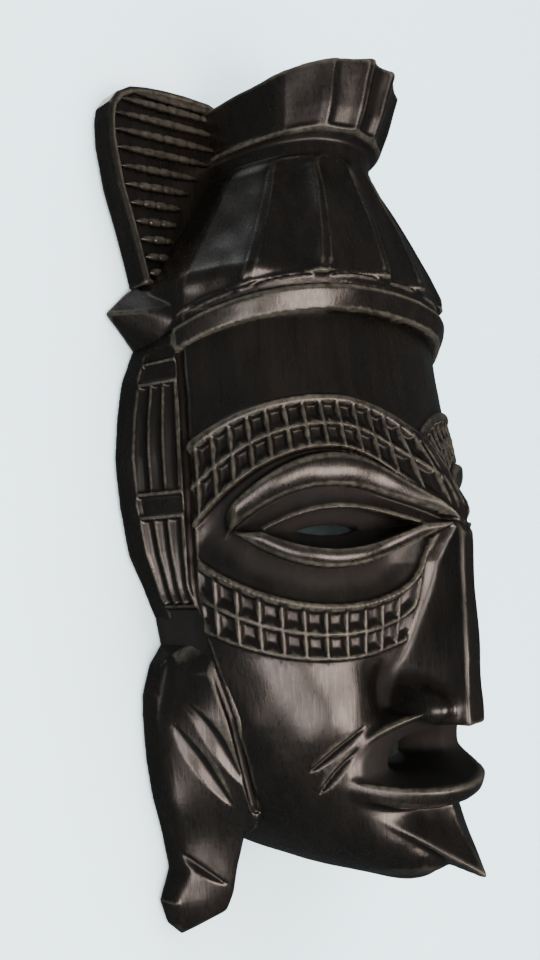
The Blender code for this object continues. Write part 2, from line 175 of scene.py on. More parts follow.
@dataclass
class Block:
    """A block of wood as a grid of distances to the surface that is being carved.

    Attributes:
        low: Lowest corner, in millimetres.
        high: Highest corner.
        step: Grid spacing.
    """

    low: tuple[float, float, float]
    high: tuple[float, float, float]
    step: float
    x: Grid = field(init=False)
    y: Grid = field(init=False)
    z: Grid = field(init=False)
    wood: Grid = field(init=False)

    def __post_init__(self) -> None:
        """Lay out the grid, empty at first."""
        axes = [np.arange(a, b + self.step, self.step, dtype=np.float32)
                for a, b in zip(self.low, self.high)]
        self.x = axes[0][:, None, None]
        self.y = axes[1][None, :, None]
        self.z = axes[2][None, None, :]
        self.wood = np.full([len(axis) for axis in axes], 50.0, dtype=np.float32)

    def add(self, shape: Grid, blend: float = 0.0) -> None:
        """Join a shape to the wood."""
        self.wood = joined(self.wood, shape, blend).astype(np.float32)

    def cut(self, shape: Grid, blend: float = 0.0) -> None:
        """Take a shape out of the wood."""
        self.wood = shared(self.wood, -shape, blend).astype(np.float32)

    def keep(self, shape: Grid, blend: float = 0.0) -> None:
        """Keep only the wood inside a shape."""
        self.wood = shared(self.wood, shape, blend).astype(np.float32)

    def waver(self, amount: float) -> None:
        """Make every surface waver a little, as knife and gouge leave it."""
        x, y, z = self.x, self.y, self.z
        wave = (np.sin(x / 5.3 + 0.7 * np.sin(z / 9.0)) * np.sin(z / 6.1 + 1.3 + y / 11.0)
                + 0.7 * np.sin(y / 4.1 + 0.5 + x / 8.0) * np.sin(z / 4.7 + 2.1 - x / 7.0))
        self.wood = (self.wood + amount * wave).astype(np.float32)

    def whole(self) -> "Block":
        """The block on both sides of the centre line, from its half on the left side."""
        full = Block.__new__(Block)
        full.low = (-self.x.ravel()[-1], self.low[1], self.low[2])
        full.high, full.step = self.high, self.step
        full.x = np.concatenate((-self.x[::-1], self.x))
        full.y, full.z = self.y, self.z
        full.wood = np.concatenate((self.wood[::-1], self.wood))
        return full

    def sample(self, values: Grid, points: Grid) -> Grid:
        """Read a grid of values at points between its nodes.

        Args:
            values: Numbers on this block's grid.
            points: Points in millimetres, one a row.

        Returns:
            The interpolated number at each point.
        """
        place = (points - np.array(self.low)) / self.step
        place = np.clip(place, 0, np.array(values.shape) - 1.001)
        base = place.astype(np.int32)
        part = place - base
        total = np.zeros(len(points))
        for corner in range(8):
            offset = np.array([corner & 1, corner >> 1 & 1, corner >> 2 & 1])
            weight = np.prod(np.where(offset, part, 1.0 - part), axis=1)
            i, j, k = (base + offset).T
            total += weight * values[i, j, k]
        return total

    def surface(self) -> tuple[Grid, Grid]:
        """Find the surface of the wood.

        Each grid cell that the surface crosses gets one point, at the mean of its crossings,
        and each crossed grid edge gets a face between its four cells.

        Returns:
            Points in millimetres, and faces of four point numbers that look outwards.
        """
        wood = self.wood
        solid = wood < 0.0
        count = np.zeros([n - 1 for n in wood.shape], dtype=np.uint8)
        for corner in range(8):
            i, j, k = corner & 1, corner >> 1 & 1, corner >> 2 & 1
            count += solid[i:i + count.shape[0], j:j + count.shape[1], k:k + count.shape[2]]
        cells = np.argwhere((count > 0) & (count < 8))
        number = np.full(count.shape, -1, dtype=np.int32)
        number[tuple(cells.T)] = np.arange(len(cells))
        total = np.zeros((len(cells), 3))
        hits = np.zeros(len(cells))
        for axis in range(3):
            others = [n for n in range(3) if n != axis]
            for corner in range(4):
                start = np.zeros(3, dtype=np.int32)
                start[others[0]], start[others[1]] = corner & 1, corner >> 1
                end = start.copy()
                end[axis] = 1
                a = wood[tuple((cells + start).T)]
                b = wood[tuple((cells + end).T)]
                crossed = (a < 0) != (b < 0)
                share = np.where(crossed, a / np.where(crossed, a - b, 1.0), 0.0)
                spot = start + share[:, None] * (end - start)
                total += np.where(crossed[:, None], spot, 0.0)
                hits += crossed
        points = (cells + total / hits[:, None]) * self.step + np.array(self.low)
        faces = []
        for axis in range(3):
            b, c = (axis + 1) % 3, (axis + 2) % 3
            first = [slice(None)] * 3
            second = [slice(None)] * 3
            first[axis], second[axis] = slice(None, -1), slice(1, None)
            edge = solid[tuple(first)] != solid[tuple(second)]
            spots = np.argwhere(edge)
            inner = (spots[:, b] > 0) & (spots[:, c] > 0)
            inner &= (spots[:, b] < wood.shape[b] - 1) & (spots[:, c] < wood.shape[c] - 1)
            spots = spots[inner]
            ring = []
            for back_b, back_c in ((1, 1), (0, 1), (0, 0), (1, 0)):
                cell = spots.copy()
                cell[:, b] -= back_b
                cell[:, c] -= back_c
                ring.append(number[tuple(cell.T)])
            quad = np.stack(ring, axis=1)
            outward = solid[tuple(first)][tuple(spots.T)]
            faces.append(np.where(outward[:, None], quad, quad[:, ::-1]))
        return points, np.concatenate(faces)


def smoothed(values: Grid, reach: int) -> Grid:
    """Average a grid over a small cube, three times, which is close to a Gaussian blur.

    Args:
        values: Numbers on a grid.
        reach: Half width of the cube, in grid steps.

    Returns:
        The blurred numbers.
    """
    for axis in range(3):
        total = np.zeros_like(values)
        for shift in range(-reach, reach + 1):
            total += np.roll(values, shift, axis=axis)
        values = total / (2 * reach + 1)
    return values


@dataclass(frozen=True)
class HalfRound:
    """A form whose level sections are half rounds on the back plane.

    Attributes:
        stations: Level, half width at the back and depth on the centre line, upwards.
        power: 2 for an ellipse, more for a squarer section.
        ease: How far the outline is smoothed along its height.
    """

    stations: tuple[tuple[float, float, float], ...]
    power: float = 2.4
    ease: float = 4.0

    def sizes(self, z: Grid) -> tuple[Grid, Grid]:
        """Half width and depth at each level, eased along the height."""
        levels = [row[0] for row in self.stations]
        sizes = []
        for column in (1, 2):
            values = [row[column] for row in self.stations]
            total = 0.0
            for shift, weight in ((-1.0, 0.25), (-0.5, 0.25), (0.5, 0.25), (1.0, 0.25)):
                total = total + weight * np.interp(z.ravel() + shift * self.ease, levels, values)
            sizes.append(total.reshape(z.shape).astype(np.float32))
        return sizes[0], sizes[1]

    def measure(self, block: Block) -> tuple[Grid, Grid]:
        """Distance from the form, and angle round it.

        Args:
            block: The block whose grid is measured.

        Returns:
            Distances, negative inside, and angles in degrees from the centre line.
        """
        wide, deep = self.sizes(block.z)
        across = np.abs(block.x) / wide
        ahead = np.maximum(-block.y, 0.0) / deep
        ratio = (across ** self.power + ahead ** self.power) ** (1.0 / self.power)
        reach = np.hypot(block.x, block.y)
        ratio = np.maximum(ratio, 0.05)
        distance = reach * (1.0 - 1.0 / ratio)
        angle = np.degrees(np.arctan2(across, np.maximum(-block.y, 0.0) / deep))
        return distance.astype(np.float32), angle.astype(np.float32)

    def raised(self, block: Block, relief: Callable[[Grid, Grid], Grid]) -> Grid:
        """The form with a relief on its surface.

        Args:
            block: The block that is carved.
            relief: Height of the relief for angles (a column) and levels (a row).

        Returns:
            Distances from the finished form.
        """
        distance, angle = self.measure(block)
        angles = np.arange(0.0, 90.5, 0.25, dtype=np.float32)
        heights = relief(angles[:, None], block.z[0, 0][None, :])
        result = np.empty_like(distance)
        for row in range(distance.shape[2]):
            turns = angle[:, :, row]
            lift = np.interp(turns.ravel(), angles, heights[:, row]).reshape(turns.shape)
            result[:, :, row] = distance[:, :, row] - lift
        return result


FACE = HalfRound((
    (-176, 12, 70), (-172, 23, 84), (-166, 33, 87), (-158, 43, 86), (-145, 55, 82),
    (-128, 66.5, 80), (-108, 75, 79), (-88, 80, 80), (-65, 84, 83), (-45, 86, 86),
    (-25, 86.5, 88), (-5, 86.5, 87), (12, 86, 84), (30, 86, 80), (48, 85, 78), (66, 84, 77),
    (80, 84, 77)))
HOLLOW = HalfRound((
    (-152, 36, 46), (-146, 44, 54), (-128, 53, 60), (-108, 60, 60), (-88, 65, 61), (-65, 69, 64),
    (-45, 71, 67), (-25, 71.5, 69), (-5, 71.5, 68), (12, 71, 65), (30, 71, 61), (48, 68, 57),
    (58, 58, 48)), power=2.0)


def brow_lower(angle: Grid) -> Grid:
    """Level of the brow band's lower edge."""
    away = angle - 32.0
    return 3.0 - np.where(away > 0, 0.0212, 0.033) * away * away


def brow_upper(angle: Grid) -> Grid:
    """Level of the brow band's upper edge."""
    away = angle - 29.0
    return 24.5 - np.where(away > 0, 0.0103, 0.017) * away * away


def cheek_lower(angle: Grid) -> Grid:
    """Level of the cheek band's lower edge."""
    return -81.0 + 0.0098 * (angle - 30.0) ** 2


def cheek_upper(angle: Grid) -> Grid:
    """Level of the cheek band's upper edge, swept up beside the nose."""
    return -59.5 + 0.0145 * (angle - 30.0) ** 2 + 20.0 * np.exp(-(angle - 6.0) / 1.9)


def arch(angle: Grid, centre: float, top: float, outer: float, inner: float) -> Grid:
    """A level curve with one highest or lowest point and its own bend on each side."""
    away = angle - centre
    return top + np.where(away > 0, outer, inner) * away * away


def lid_top(angle: Grid) -> Grid:
    """Upper edge of the lid's crescent."""
    return arch(angle, 31.0, 0.8, -0.0250, -0.032)


def lid_low(angle: Grid) -> Grid:
    """Lower edge of the lid's crescent."""
    return arch(angle, 33.0, -12.6, -0.0235, -0.0170)


def slit_top(angle: Grid) -> Grid:
    """Upper edge of the eye's opening."""
    return arch(angle, 31.0, -21.4, -0.0195, -0.0165)


def slit_low(angle: Grid) -> Grid:
    """Lower edge of the eye's opening."""
    return arch(angle, 31.0, -37.7, 0.0205, 0.0175)


def rim_low(angle: Grid) -> Grid:
    """Lower edge of the lower lid."""
    return arch(angle, 31.0, -45.2, 0.0215, 0.0200)


def pits(across: Grid, up: Grid, depth: float) -> Grid:
    """Chip-carved pits: four flat walls, deepest near the top of each cell.

    Args:
        across: Position in the row, one cell a unit.
        up: Position up the cell, 0 to 1, outside of which nothing is cut.
        depth: Depth of a full pit.

    Returns:
        Depths, 0 where nothing is cut.
    """
    share = across - np.floor(across)
    wall = np.minimum(np.minimum(share - 0.05, 0.95 - share) / 0.20, 1.0)
    rise = np.minimum((up - 0.02) / 0.40, (0.98 - up) / 0.12)
    return depth * np.clip(np.minimum(wall, rise), 0.0, 1.0)


def lens_cut(angle: Grid, z: Grid, start: tuple[float, float], end: tuple[float, float],
             width: float, depth: float) -> Grid:
    """A pointed V cut from one place on a form to another.

    Args:
        angle: Angles of the relief, in degrees.
        z: Levels of the relief.
        start: Angle and level where the cut starts.
        end: Angle and level where it ends.
        width: Half width of the cut at its middle.
        depth: Depth at its middle.

    Returns:
        Depths, 0 where nothing is cut.
    """
    arc = 1.45
    dx, dz = (end[0] - start[0]) * arc, end[1] - start[1]
    length = math.hypot(dx, dz)
    across = (angle - start[0]) * arc
    up = z - start[1]
    along = (across * dx + up * dz) / length
    beside = np.abs(across * dz - up * dx) / length
    belly = np.clip(1.0 - (2.0 * along / length - 1.0) ** 2, 0.0, 1.0)
    return depth * belly * np.clip(1.0 - beside / (width * np.maximum(belly, 0.05)), 0.0, 1.0)


FLARE_LEVELS = (-90.0, -75.0, -60.0, -45.0, -37.0, -31.0, -20.0, -10.0, 0.0, 10.0, 20.0, 32.0)
FLARE_HEIGHTS = (0.0, 4.0, 8.0, 10.5, 14.0, 17.5, 15.5, 11.5, 7.0, 2.8, 0.5, 0.0)
FLARE_SPREADS = (9.0, 9.0, 9.5, 10.5, 12.0, 13.0, 12.0, 11.0, 10.5, 10.0, 10.0, 10.0)


def face_relief(angle: Grid, z: Grid) -> Grid:
    """Everything that is carved on the front of the face.

    Args:
        angle: Angles from the centre line, as a column.
        z: Levels, as a row.

    Returns:
        Heights of the relief above the face form.
    """
    low, high = brow_lower(angle), brow_upper(angle)
    up = (z - low) / (high - low)
    in_brow = soft_step(angle, 71.5, 70.0)
    # The eye socket, between the brow band and the cheek band.
    rim = cheek_upper(angle)
    below_brow = soft_step(z, low + 0.3, low - 1.2)
    above_rim = soft_step(z, rim - 0.2, rim + 2.0)
    socket = below_brow * above_rim * soft_step(angle, 70.5, 67.0)
    rim_at, edge, edge_top = rim_low(angle), slit_low(angle), slit_top(angle)
    rise = np.clip((z - rim) / np.maximum(rim_at - rim, 4.0), 0.0, 1.0)
    height = -(0.6 + 5.2 * rise - 2.0 * soft_step(z, low - 9.0, low - 1.0)) * socket
    # Lid crescent: a full convex band that leans down to a sharp lower edge.
    top, bottom = lid_top(angle), lid_low(angle)
    share = np.clip((z - bottom) / np.maximum(top - bottom, 0.6), 0.0, 1.0)
    lid = 3.0 - np.where(share < 0.80, 6.4, 70.0) * (share - 0.80) ** 2
    on_lid = soft_step(z, bottom - 0.4, bottom + 0.4) * soft_step(z, top + 1.2, top - 0.6)
    on_lid *= soft_step(top - bottom, 0.5, 4.0) * soft_step(angle, 62.0, 57.0)
    height = height + (lid - height) * on_lid
    # Eyeball face: a shaded bed under the lid, then a thin rim at the opening.
    middle = (edge + edge_top) / 2.0
    edge, edge_top = np.minimum(edge, middle), np.maximum(edge_top, middle)
    on_ball = soft_step(z, rim_at - 0.4, rim_at + 0.4) * soft_step(z, bottom + 0.4, bottom - 0.4)
    on_ball *= soft_step(bottom - rim_at, 0.5, 2.5)
    nearness = np.clip(1.0 - (z - edge_top) / np.maximum(bottom - edge_top, 0.8), 0.0, 1.0)
    bed = -4.6 + 3.0 * nearness ** 2.2
    bevel = np.clip((z - rim_at) / np.maximum(edge - rim_at, 0.8), 0.0, 1.0)
    ridge = 1.9 - 5.2 * (bevel - 0.60) ** 2
    ball = ridge + (bed - ridge) * soft_step(z, middle - 0.5, middle + 0.5)
    height = height + (ball - height) * on_ball
    # The whole middle flares out into the root of the nose.
    root = np.interp(z.ravel(), FLARE_LEVELS, FLARE_HEIGHTS).reshape(z.shape)
    spread = np.interp(z.ravel(), FLARE_LEVELS, FLARE_SPREADS).reshape(z.shape)
    flare = root * np.exp(-((angle / spread) ** 2))
    # Brow band: a plain upper rim over two rows of pits.
    on_brow = soft_step(z, low - 0.4, low + 0.3) * soft_step(z, high + 0.7, high - 0.1) * in_brow
    columns = (angle - 3.0) / 4.9
    band = 1.3 + 0.9 * bump(up, 0.94, 0.06)
    band -= pits(columns, (up - 0.45) / 0.42, 3.3) * soft_step(angle, 1.0, 2.5)
    band -= pits(columns, (up - 0.02) / 0.42, 3.3) * soft_step(angle, 1.0, 2.5)
    height = height + (band - height) * on_brow
    # Cheek band: a hatched upper rim over two rows of pits.
    floor = cheek_lower(angle)
    up = (z - floor) / np.maximum(rim - floor, 1.0)
    inner = 7.5 + np.clip(-z - 60.0, 0.0, 40.0) * 0.12
    on_band = soft_step(z, floor - 0.8, floor + 0.3) * soft_step(z, rim + 0.7, rim - 0.1)
    on_band *= soft_step(angle, inner - 0.8, inner + 0.4) * soft_step(angle, 68.2, 67.2)
    columns = (angle - 2.0) / 5.6
    hatch = 0.3 * np.sin(2.0 * np.pi * angle / 1.4)
    band = 1.5 + (1.2 + hatch) * bump(up, 0.95, 0.05)
    band -= pits(columns, (up - 0.47) / 0.41, 3.1)
    band -= pits(columns, (up - 0.03) / 0.41, 3.1)
    height = height + (band - height) * on_band
    height = height + flare
    # Cheek: full beside the mouth, hollow beside the nose, with two scars.
    height = height + 2.5 * bump(angle, 33.0, 14.0) * bump(z, -104.0, 20.0)
    height = height - 8.0 * bump(angle, 13.0, 8.0) * bump(z, -99.0, 14.0)
    height = height - lens_cut(angle, z, (26.0, -107.0), (47.0, -124.5), 1.7, 3.0)
    height = height - lens_cut(angle, z, (30.0, -115.5), (46.5, -133.5), 1.7, 3.0)
    return height


@dataclass
class Placement:
    """Where the carving's datum lies in the frame."""

    datum: float

    def to_world(self, points: Grid) -> Grid:
        """Turn carving millimetres into frame metres."""
        world = np.asarray(points, dtype=np.float64) * MM
        world[:, 2] += self.datum
        return world


def new_object(name: str, data: bpy.types.ID) -> bpy.types.Object:
    """Make an object of some data and link it to the scene."""
    obj = bpy.data.objects.new(name, data)
    bpy.context.scene.collection.objects.link(obj)
    return obj


def point_rows(mesh: bpy.types.Mesh, what: str) -> Grid:
    """Read each point's place ("co") or direction ("normal"), one a row."""
    values = np.empty(len(mesh.vertices) * 3, dtype=np.float32)
    mesh.vertices.foreach_get(what, values)
    return values.reshape(-1, 3)


def store(mesh: bpy.types.Mesh, name: str, values: Grid) -> None:
    """Write one number a point into a named attribute."""
    layer = mesh.attributes.new(name, "FLOAT", "POINT")
    layer.data.foreach_set("value", values.astype(np.float32))


def mesh_object(name: str, points: Grid, faces: Grid) -> bpy.types.Object:
    """Make a smooth-shaded mesh object from arrays.

    Args:
        name: Name of the piece.
        points: Points in metres, one a row.
        faces: Point numbers, one face a row.

    Returns:
        The object, linked to the scene.
    """
    mesh = bpy.data.meshes.new(name)
    corners = faces.shape[1]
    mesh.vertices.add(len(points))
    mesh.vertices.foreach_set("co", points.astype(np.float32).ravel())
    mesh.loops.add(faces.size)
    mesh.loops.foreach_set("vertex_index", faces.astype(np.int32).ravel())
    mesh.polygons.add(len(faces))
    mesh.polygons.foreach_set("loop_start", np.arange(0, faces.size, corners, dtype=np.int32))
    mesh.update(calc_edges=True)
    mesh.validate()
    mesh.shade_smooth()
    return new_object(name, mesh)


def baked(obj: bpy.types.Object) -> bpy.types.Object:
    """Turn an object's evaluated shape into its plain mesh and drop its modifiers."""
    graph = bpy.context.evaluated_depsgraph_get()
    mesh = bpy.data.meshes.new_from_object(obj.evaluated_get(graph))
    obj.modifiers.clear()
    obj.data = mesh
    return obj


@dataclass
class Carver:
    """Turns finished blocks into dressed pieces.

    Attributes:
        placement: Where the carving lies.
        wood: Material of the carving.
        limit: Most triangles that a piece may have.
        wear_reach: How far round a point its bend is judged, in millimetres.
        wear_full: Bend at which an edge is fully worn, or a hollow fully shaded.
    """

    placement: Placement
    wood: bpy.types.Material
    limit: int = 190000
    wear_reach: float = 1.1
    # wear_full: Bend at which an edge is fully worn, or a hollow fully roughened.
    wear_full: float = 0.45

    def piece(self, name: str, block: Block, mirror: bool = False,
              form: Grid | None = None) -> bpy.types.Object:
        """Make a piece from a carved block.

        Args:
            name: Name of the piece.
            block: The carved block.
            mirror: Whether to make the piece on the other side of the centre line.
            form: Distances from the uncut form, to paint shade deep in its openings: the worn
                colour is left out there and the surface is made rougher.

        Returns:
            The piece, riding on the mask and standing for its node.
        """
        points, faces = block.surface()
        obj = mesh_object(name, self.placement.to_world(points), faces)
        triangles = 2 * len(faces)
        if triangles > self.limit:
            thin = obj.modifiers.new("thin", "DECIMATE")
            thin.ratio = self.limit / triangles
            baked(obj)
        mesh = obj.data
        world = point_rows(mesh, "co")
        places = (world - np.array([0.0, 0.0, self.placement.datum])) / MM
        reach = max(1, round(self.wear_reach / block.step))
        soft = smoothed(np.clip(block.wood, -3.0, 3.0), reach)
        curve = block.sample(soft, places) / self.wear_full
        store(mesh, "wear", np.clip(curve, 0.0, 1.0))
        store(mesh, "cavity", np.clip(-curve, 0.0, 1.0))
        backward = point_rows(mesh, "normal")[:, 1]
        store(mesh, "inside", soft_step(backward, 0.25, 0.6))
        # Painted shade: points deep inside the uncut form are marked as deep, and lose their worn
        # colour.
        if form is not None:
            under = soft_step(-block.sample(form, places), 1.6, 5.2)
            store(mesh, "deep", under * soft_step(backward, 0.35, 0.05))
        if mirror:
            world[:, 0] *= -1.0
            mesh.vertices.foreach_set("co", world.ravel())
            mesh.flip_normals()
        mesh.shade_smooth()
        mesh.materials.clear()
        mesh.materials.append(self.wood)
        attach(obj, "mask")
        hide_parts("carved_mask")
        LOG.info("%s: %d points, %d faces", name, len(mesh.vertices), len(mesh.polygons))
        return obj


@dataclass(frozen=True)
class Nose:
    """The long straight nose, with a narrow flat ridge and soft nostril wings."""

    levels: tuple[float, ...] = (-112.0, -100.0, -85.0, -60.0, -34.0, -16.0, -4.0, 8.0, 20.0)
    ridge: tuple[float, ...] = (6.2, 6.2, 5.8, 5.2, 4.6, 4.2, 3.6, 3.0, 3.0)
    base: tuple[float, ...] = (23.0, 23.5, 19.0, 12.0, 9.5, 9.0, 9.0, 8.0, 6.0)
    front: tuple[float, ...] = (104.2, 104.8, 105.6, 106.2, 107.2, 100.0, 92.0, 80.0, 66.0)
    root: tuple[float, ...] = (66.0, 66.0, 70.0, 80.0, 82.0, 80.0, 76.0, 70.0, 60.0)
    bottom: float = -111.0
    wing: tuple[float, float, float] = (12.5, -85.0, -103.5)

    def shape(self, block: Block) -> Grid:
        """Distances from the nose."""
        x, y, z = np.abs(block.x), block.y, block.z
        ridge, base, front, root = (np.interp(z.ravel(), self.levels, row).reshape(z.shape)
                                    for row in (self.ridge, self.base, self.front, self.root))
        share = np.clip((front + y) / (front - root), 0.0, 1.3)
        half = ridge + (base - ridge) * (0.30 * share + 0.70 * share ** 2.4)
        side = (x - half) * 0.92
        face = (-y - front).astype(np.float32)
        body = shared(side, face, 1.6)
        cx, cy, cz = self.wing
        wing = (np.sqrt(((x - cx) / 6.0) ** 2 + ((y - cy) / 14.0) ** 2
                        + ((z - cz) / 8.0) ** 2) - 1.0) * 6.0
        body = joined(body, wing, 6.0)
        return shared(body, self.bottom - z + 0.03 * (y + 105.0), 1.2).astype(np.float32)


@dataclass(frozen=True)
class Mouth:
    """Lips that stand out as an oval cup round the way into the hollow."""

    level: float = -126.5
    half_width: float = 42.0
    half_height: float = 21.5
    half_height_below: float = 15.8
    front: float = 101.0
    sweep: float = 34.5

    def oval(self, block: Block, scale: Grid | float = 1.0, above: float = 1.0,
             below: float = 1.0) -> Grid:
        """Distances from an oval cylinder along Y, each half's height times its own factor."""
        x, z = np.abs(block.x), block.z - self.level
        wide = self.half_width * scale
        high = np.where(z > 0, self.half_height * above, self.half_height_below * below) * scale
        ratio = ((x / wide) ** 2.5 + (np.abs(z) / high) ** 2.5) ** (1.0 / 2.5)
        reach = np.hypot(x, z)
        return (reach * (1.0 - 1.0 / np.maximum(ratio, 0.08))).astype(np.float32)

    def depth(self, block: Block) -> Grid:
        """How far out the lips' front is at each place."""
        x, z = np.abs(block.x), block.z
        share = np.minimum(x / self.half_width, 1.15)
        drop = 0.012 * np.maximum(z + 120.0, 0.0) ** 2 + 0.035 * np.maximum(-131.0 - z, 0.0) ** 2
        return self.front - self.sweep * share ** 2.3 - drop

    def lips(self, block: Block) -> Grid:
        """Distances from the lips, before the mouth is cut."""
        depth = self.depth(block)
        flare = 1.0 + np.clip((depth + block.y) / 60.0, 0.0, 0.4) * 0.35
        return shared(self.oval(block, flare), -block.y - depth, 3.5)

    def opening(self, block: Block) -> Grid:
        """Distances from the cut through the lips: a broad bevel, then a narrowing throat."""
        inside = self.depth(block) + block.y
        scale = np.interp(inside.ravel(), (-8.0, 0.0, 4.0, 20.0, 46.0),
                          (1.02, 0.95, 0.86, 0.50, 0.13)).reshape(inside.shape)
        return self.oval(block, scale.astype(np.float32), 1.22, 0.52)


def plane_through(a: Sequence[float], b: Sequence[float], c: Sequence[float],
                  inner: Sequence[float]) -> tuple[np.ndarray, float]:
    """A plane through three points, facing away from an inner point.

    Args:
        a: First point on the plane.
        b: Second point.
        c: Third point.
        inner: A point that the plane leaves behind it.

    Returns:
        The plane's normal, and its distance from the origin along it.
    """
    a, b, c, inner = (np.array(point, dtype=float) for point in (a, b, c, inner))
    normal = np.cross(b - a, c - a)
    normal /= np.linalg.norm(normal)
    if normal @ (inner - a) > 0:
        normal = -normal
    return normal, float(normal @ a)


@dataclass(frozen=True)
class ChinBlade:
    """The pointed shovel of the chin, below the lips."""

    corner: tuple[float, float, float] = (43.0, -58.0, -133.0)
    tip: tuple[float, float, float] = (0.0, -104.0, -171.5)
    saddle: tuple[float, float, float] = (0.0, -91.0, -143.0)
    keel: tuple[float, float, float] = (0.0, -83.0, -168.5)

    def shape(self, block: Block) -> Grid:
        """Distances from the blade."""
        x, y, z = np.abs(block.x), block.y, block.z
        inner = (0.0, -70.0, -160.0)
        top = plane_through(self.corner, self.tip, self.saddle, inner)
        under = plane_through(self.corner, self.tip, self.keel, inner)
        faces = []
        for normal, offset in (top, under):
            faces.append(x * normal[0] + y * normal[1] + z * normal[2] - offset)
        scoop = 2.6 * np.exp(-((faces[1] + 13.0) / 8.0) ** 2)
        body = shared(faces[0] + scoop, faces[1], 2.2)
        return np.maximum(body, -y - 104.5).astype(np.float32)


GROOVE_PATH = ((50.0, -32.5, -150.0), (59.0, -34.0, -139.0), (71.0, -36.0, -102.0),
               (77.0, -33.5, -82.0), (79.8, -29.8, -65.0), (82.5, -30.0, -47.0),
               (83.2, -30.5, -15.0),
               (82.8, -30.0, 26.0), (81.8, -28.0, 47.5), (81.0, -27.0, 60.0))
GROOVE_END = -142.0


def groove_line(block: Block) -> tuple[Grid, Grid]:
    """Where the groove beside the face runs at each level, across and in depth."""
    x, y, levels = (np.array(row) for row in zip(*GROOVE_PATH))
    shape = block.z.shape
    return (np.interp(block.z.ravel(), levels, x).reshape(shape),
            np.interp(block.z.ravel(), levels, y).reshape(shape))


def tube_cut(block: Block, radius: float) -> Grid:
    """Distances from the round groove beside the face, which ends at the lock's inner corner."""
    x, y = groove_line(block)
    tube = np.hypot(np.abs(block.x) - x, block.y - y) - radius
    return np.maximum(tube, GROOVE_END - block.z).astype(np.float32)


@dataclass
class Face:
    """The face: form, bands, eyes, nose, lips, chin, and the hollow behind them."""

    carver: Carver
    step: float
    bottom: float = -175.5
    top: float = 64.0
    nose: Nose = Nose()
    mouth: Mouth = Mouth()
    blade: ChinBlade = ChinBlade()

    def hollow(self, block: Block) -> Grid:
        """Distances from the hollow, with the marks of the gouge that cleared it."""
        distance, angle = HOLLOW.measure(block)
        ends = np.maximum(block.z - 57.0, -150.0 - block.z)
        flutes = 0.55 * np.abs(np.sin(np.radians(angle) * 9.0 + 0.04 * block.z))
        steps = 0.45 * np.abs(np.sin(block.z / 6.5 + 1.7 * np.sin(np.radians(angle) * 4.0)))
        return shared(distance + flutes + steps, ends, 12.0)

    def eye(self, block: Block) -> Grid:
        """Distances from the eye's slit, cut straight through the wall."""
        distance, angle = FACE.measure(block)
        z = block.z
        high = slit_top(angle) - z
        low = z - slit_low(angle)
        throat = 5.3 * soft_step(-distance, 8.0, 15.0)
        return (throat - np.minimum(high, low) * 0.9).astype(np.float32)

    def build(self) -> bpy.types.Object:
        """Carve the face and make its piece."""
        block = Block((self.step / 2, -109.0, self.bottom - 2.0), (92.0, 1.6, self.top + 2.0),
                      self.step)
        block.add(FACE.raised(block, face_relief))
        depths = (0.0, 15.0, 30.0, 50.0, 70.0, 110.0)
        under = np.interp(-block.y.ravel(), depths, (-160, -164.5, -168.5, -173, -175.5, -176))
        block.keep((under.reshape(block.y.shape) - block.z) * 0.95, 4.0)
        block.add(self.mouth.lips(block), 3.0)
        block.add(self.blade.shape(block), 2.0)
        block.cut(self.mouth.opening(block), 1.6)
        block.add(self.nose.shape(block), 2.0)
        groove_x, groove_y = groove_line(block)
        for inwards, behind in ((-0.5, -1.0), (2.5, 1.0)):
            beside = np.maximum(groove_x - inwards - block.x, groove_y + behind - block.y)
            block.cut(np.maximum(beside, GROOVE_END - block.z), 0.5)
        block.cut(tube_cut(block, GROOVE_RADIUS), 0.8)
        block.waver(HAND_WAVER)
        block.cut(self.hollow(block), 0.5)
        block.cut(self.eye(block), 0.4)
        block.keep(block.z - self.top)
        block.keep(block.y, 0.8)
        full = block.whole()
        # The uncut face and lips, to mark where the painted shade deep in the openings goes.
        outside = np.minimum(FACE.measure(full)[0], self.mouth.lips(full))
        return self.carver.piece("mask_face", full, form=outside)


def hull_planes(points: Sequence[tuple[float, float, float]]) -> list[tuple[np.ndarray, float]]:
    """Planes of the convex solid round a few points.

    Args:
        points: The solid's corners.

    Returns:
        Each face's outward normal, and its distance from the origin along it.
    """
    work = bmesh.new()
    for point in points:
        work.verts.new(point)
    bmesh.ops.convex_hull(work, input=work.verts)
    bmesh.ops.recalc_face_normals(work, faces=work.faces)
    work.normal_update()
    planes = [(np.array(face.normal), float(face.normal.dot(face.verts[0].co)))
              for face in work.faces]
    work.free()
    return planes


def convex(block: Block, points: Sequence[tuple[float, float, float]], blend: float) -> Grid:
    """Distances from the convex solid round a few points, with eased edges."""
    total = None
    for normal, offset in hull_planes(points):
        gap = (np.abs(block.x) * normal[0] + block.y * normal[1] + block.z * normal[2] - offset)
        total = gap if total is None else shared(total, gap, blend)
    return total.astype(np.float32)


HAIR = HalfRound((
    (44, 82, 76), (60, 83, 79), (70, 84, 82), (74.5, 84.5, 85.5), (77, 84, 87.2), (80, 82.5, 88),
    (92, 74, 84.5), (106, 64, 79.5), (120, 54, 74), (132, 46, 69), (139.5, 40, 65.5),
    (141.5, 36.5, 65), (148.5, 36.5, 66.5), (150.5, 39, 72.5), (160, 41.5, 77.5),
    (170, 44.5, 81.5), (178, 46.7, 85), (192, 51, 91)), ease=0.8)


